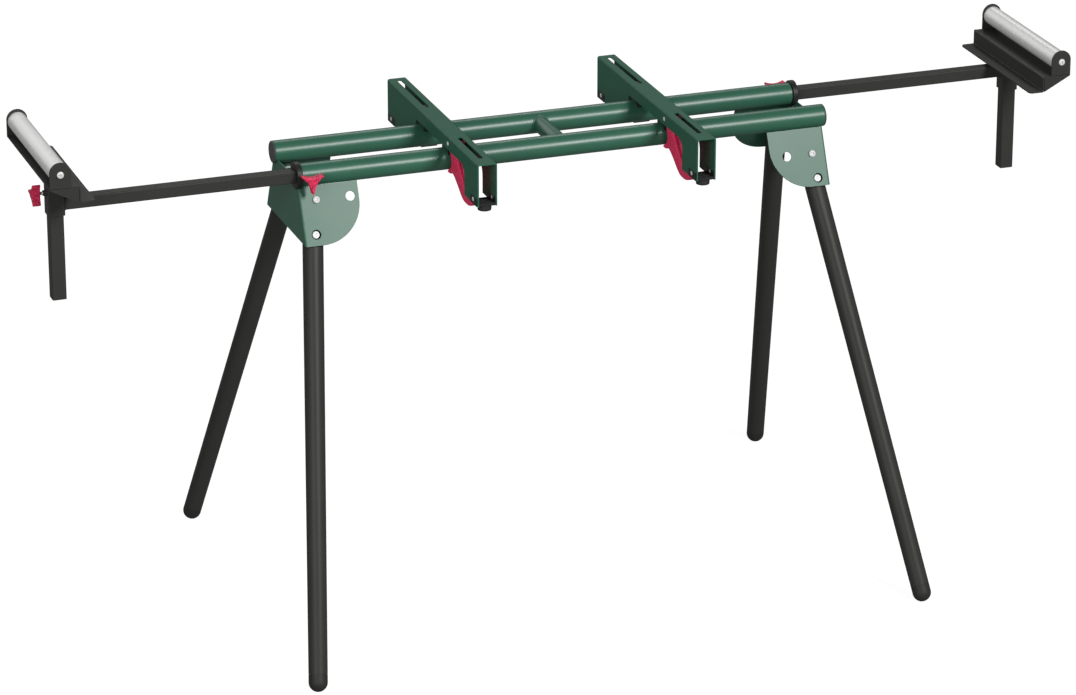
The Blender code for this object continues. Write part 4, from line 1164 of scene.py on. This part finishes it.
def clamp_lever(name, x):
    at = move(x, 0, 0) @ ON_YZ
    outline = eased(from_tube(GRIP + TOE + BELLY + LIP), 0.0050, 4, closed=False)
    outline += arc((PIN_Y, PIN_Z), EYE_R, -20, 200, 24)
    lever = lean_in(stamp(name, outline, [], 2 * lever_half, at, LEVER_ROUND, 5))
    groove = lean_in(cutter(groove_outline(), 2 * (lever_half - RIB), at))
    fork = cutter(slab(0.0170, 8 * EYE_R), 0.0400, move(x, PIN_Y, PIN_Z - 0.0175 + 0.0200))
    way = cutter(circle((PIN_Y, PIN_Z), PIN_HOLE_R, 24), 0.06, at)
    return carve(lever, groove, fork, way, edge=0.0004)


def lever_pin(name, x):
    head = [(0, 0.0022), (0.0018, 0.0021), (0.0031, 0.0015), (0.0040, 0.0006), (0.0038, GAP),
            (0.0025, GAP)]
    head = [(r, z + HALF_WIDE) for r, z in head]
    profile = head + [(r, -z) for r, z in reversed(head)]
    return lathe(name, profile, standing((x, PIN_Y, PIN_Z), (1, 0, 0), (0, 1, 0)), 48)


for side in ("left", "right"):
    body = side + "_saw_bracket"
    x = box_of(body).mid.x
    dress(channel(body + "_dressed", x), channel_coat, body, body)
    for end, turn in ENDS:
        name = side + "_" + end + "_insert"
        dress(corner_insert(name, move(x, 0, 0) @ turn), black_plastic, body, name)
        dress(insert_rivets(name + "_rivets", move(x, 0, 0) @ turn), zinc, body)
    dress(rubber_pad(side + "_bracket_pad_dressed", x), rubber, body, side + "_bracket_pad")
    dress(lever_pin(side + "_lever_pin_dressed", x), zinc, body, side + "_lever_pin")
    name = side + "_bracket_lever"
    dress(clamp_lever(name + "_dressed", x), lever_red_painted_light, side + "_lever", name)

# %% [markdown]
# ## The liners that stay
# The black liners with the tube seats are right as they are and almost hidden, so they keep
# their solid and only get the moulded finish.

# %% Finish for the carried-over liners
for side in ("left", "right"):
    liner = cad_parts[side + "_bracket_seats"]
    liner.data.materials.clear()
    liner.data.materials.append(black_plastic.material)
print("dressed", len(dressed), "pieces")

# %% [markdown]
# ## Camera
# The photograph is taken from the left and a little above, from far away with a long lens,
# so the stand hardly narrows with distance. These values were solved from the photograph:
# the tubes, feet and arms fall on their places in it.

# %% Camera
AZIMUTH = math.radians(-19.534)
DOWN = math.radians(21.283)
DISTANCE = 8.7307
TARGET = Vector((-0.0228, 0.0, 0.4189))
flat = math.cos(DOWN)
look = Vector((-math.sin(AZIMUTH) * flat, math.cos(AZIMUTH) * flat, -math.sin(DOWN)))
camera_data = bpy.data.cameras.new("photo_camera")
camera_data.lens = 161.9
camera_data.sensor_width = 36.0
camera_data.clip_end = 60.0
camera = into_scene("photo_camera", camera_data)
camera.location = TARGET - look * DISTANCE
camera.rotation_euler = (math.pi / 2 - DOWN, 0, AZIMUTH)
bpy.context.scene.camera = camera
print("camera stands at", [round(v, 3) for v in camera.location])

# %% [markdown]
# ## Floor
# The floor is plain paper. To the camera it is lifted to white, as a studio sweep is, and it
# still takes the stand's faint soft shadow. For every other ray it is a mid grey, so little
# light is thrown up under the stand, and the undersides stay as dark as in the photograph.

# %% Floor
FLOOR_GREY = 0.20
FLOOR_LIFT = 0.90


def studio_floor():
    bm = bmesh.new()
    bmesh.ops.create_grid(bm, x_segments=8, y_segments=8, size=30.0)
    floor = into_scene("studio_floor", mesh_from("studio_floor", bm))
    paper = Finish("studio_paper", None, (FLOOR_GREY,) * 3, 0.9)
    paper.shader.inputs["Emission Strength"].default_value = FLOOR_LIFT
    paper.feed("Emission Color", paper.node("ShaderNodeLightPath", out="Is Camera Ray"))
    floor.data.materials.append(paper.material)


studio_floor()

# %% [markdown]
# ## Light
# Four soft lamps and a dim world. The main lamp stands to the front right and a little
# above, where the sloping cheeks of the leg brackets mirror it to the camera: that is what
# makes them so much lighter than the other green faces in the photograph. A fill from the
# left opens the shade, and two lamps behind light what looks up and back.


# %% Lamps and world
WORLD_DIM = 0.13
WORLD_WHITE = 1.0


def soft_lamp(name, direction, distance, size, power):
    data = bpy.data.lights.new(name, "AREA")
    data.shape = "DISK"
    data.size = size
    data.energy = power
    lamp = into_scene(name, data)
    away = Vector(direction).normalized()
    lamp.location = TARGET + away * distance
    lamp.rotation_euler = away.to_track_quat("Z", "Y").to_euler()
    return lamp


soft_lamp("main_lamp", (0.30, -0.80, 0.53), 9.0, 2.5, 620)
soft_lamp("left_fill", (-0.66, -0.66, 0.36), 6.0, 3.5, 140)
soft_lamp("back_card", (-0.34, 0.86, 0.40), 6.0, 5.0, 74)
soft_lamp("back_key", (0.27, 0.70, 0.64), 9.0, 2.5, 80)

world = bpy.data.worlds.new("studio_world")
bpy.context.scene.world = world
world.use_nodes = True
backdrop = world.node_tree.nodes["Background"]
backdrop.inputs["Color"].default_value = (1, 1, 1, 1)
rays = world.node_tree.nodes.new("ShaderNodeLightPath")
level = world.node_tree.nodes.new("ShaderNodeMix")
level.data_type = "FLOAT"
level.inputs["A"].default_value = WORLD_DIM
level.inputs["B"].default_value = WORLD_WHITE
world.node_tree.links.new(rays.outputs["Is Camera Ray"], level.inputs["Factor"])
world.node_tree.links.new(level.outputs["Result"], backdrop.inputs["Strength"])
bpy.context.scene.view_settings.view_transform = "Standard"
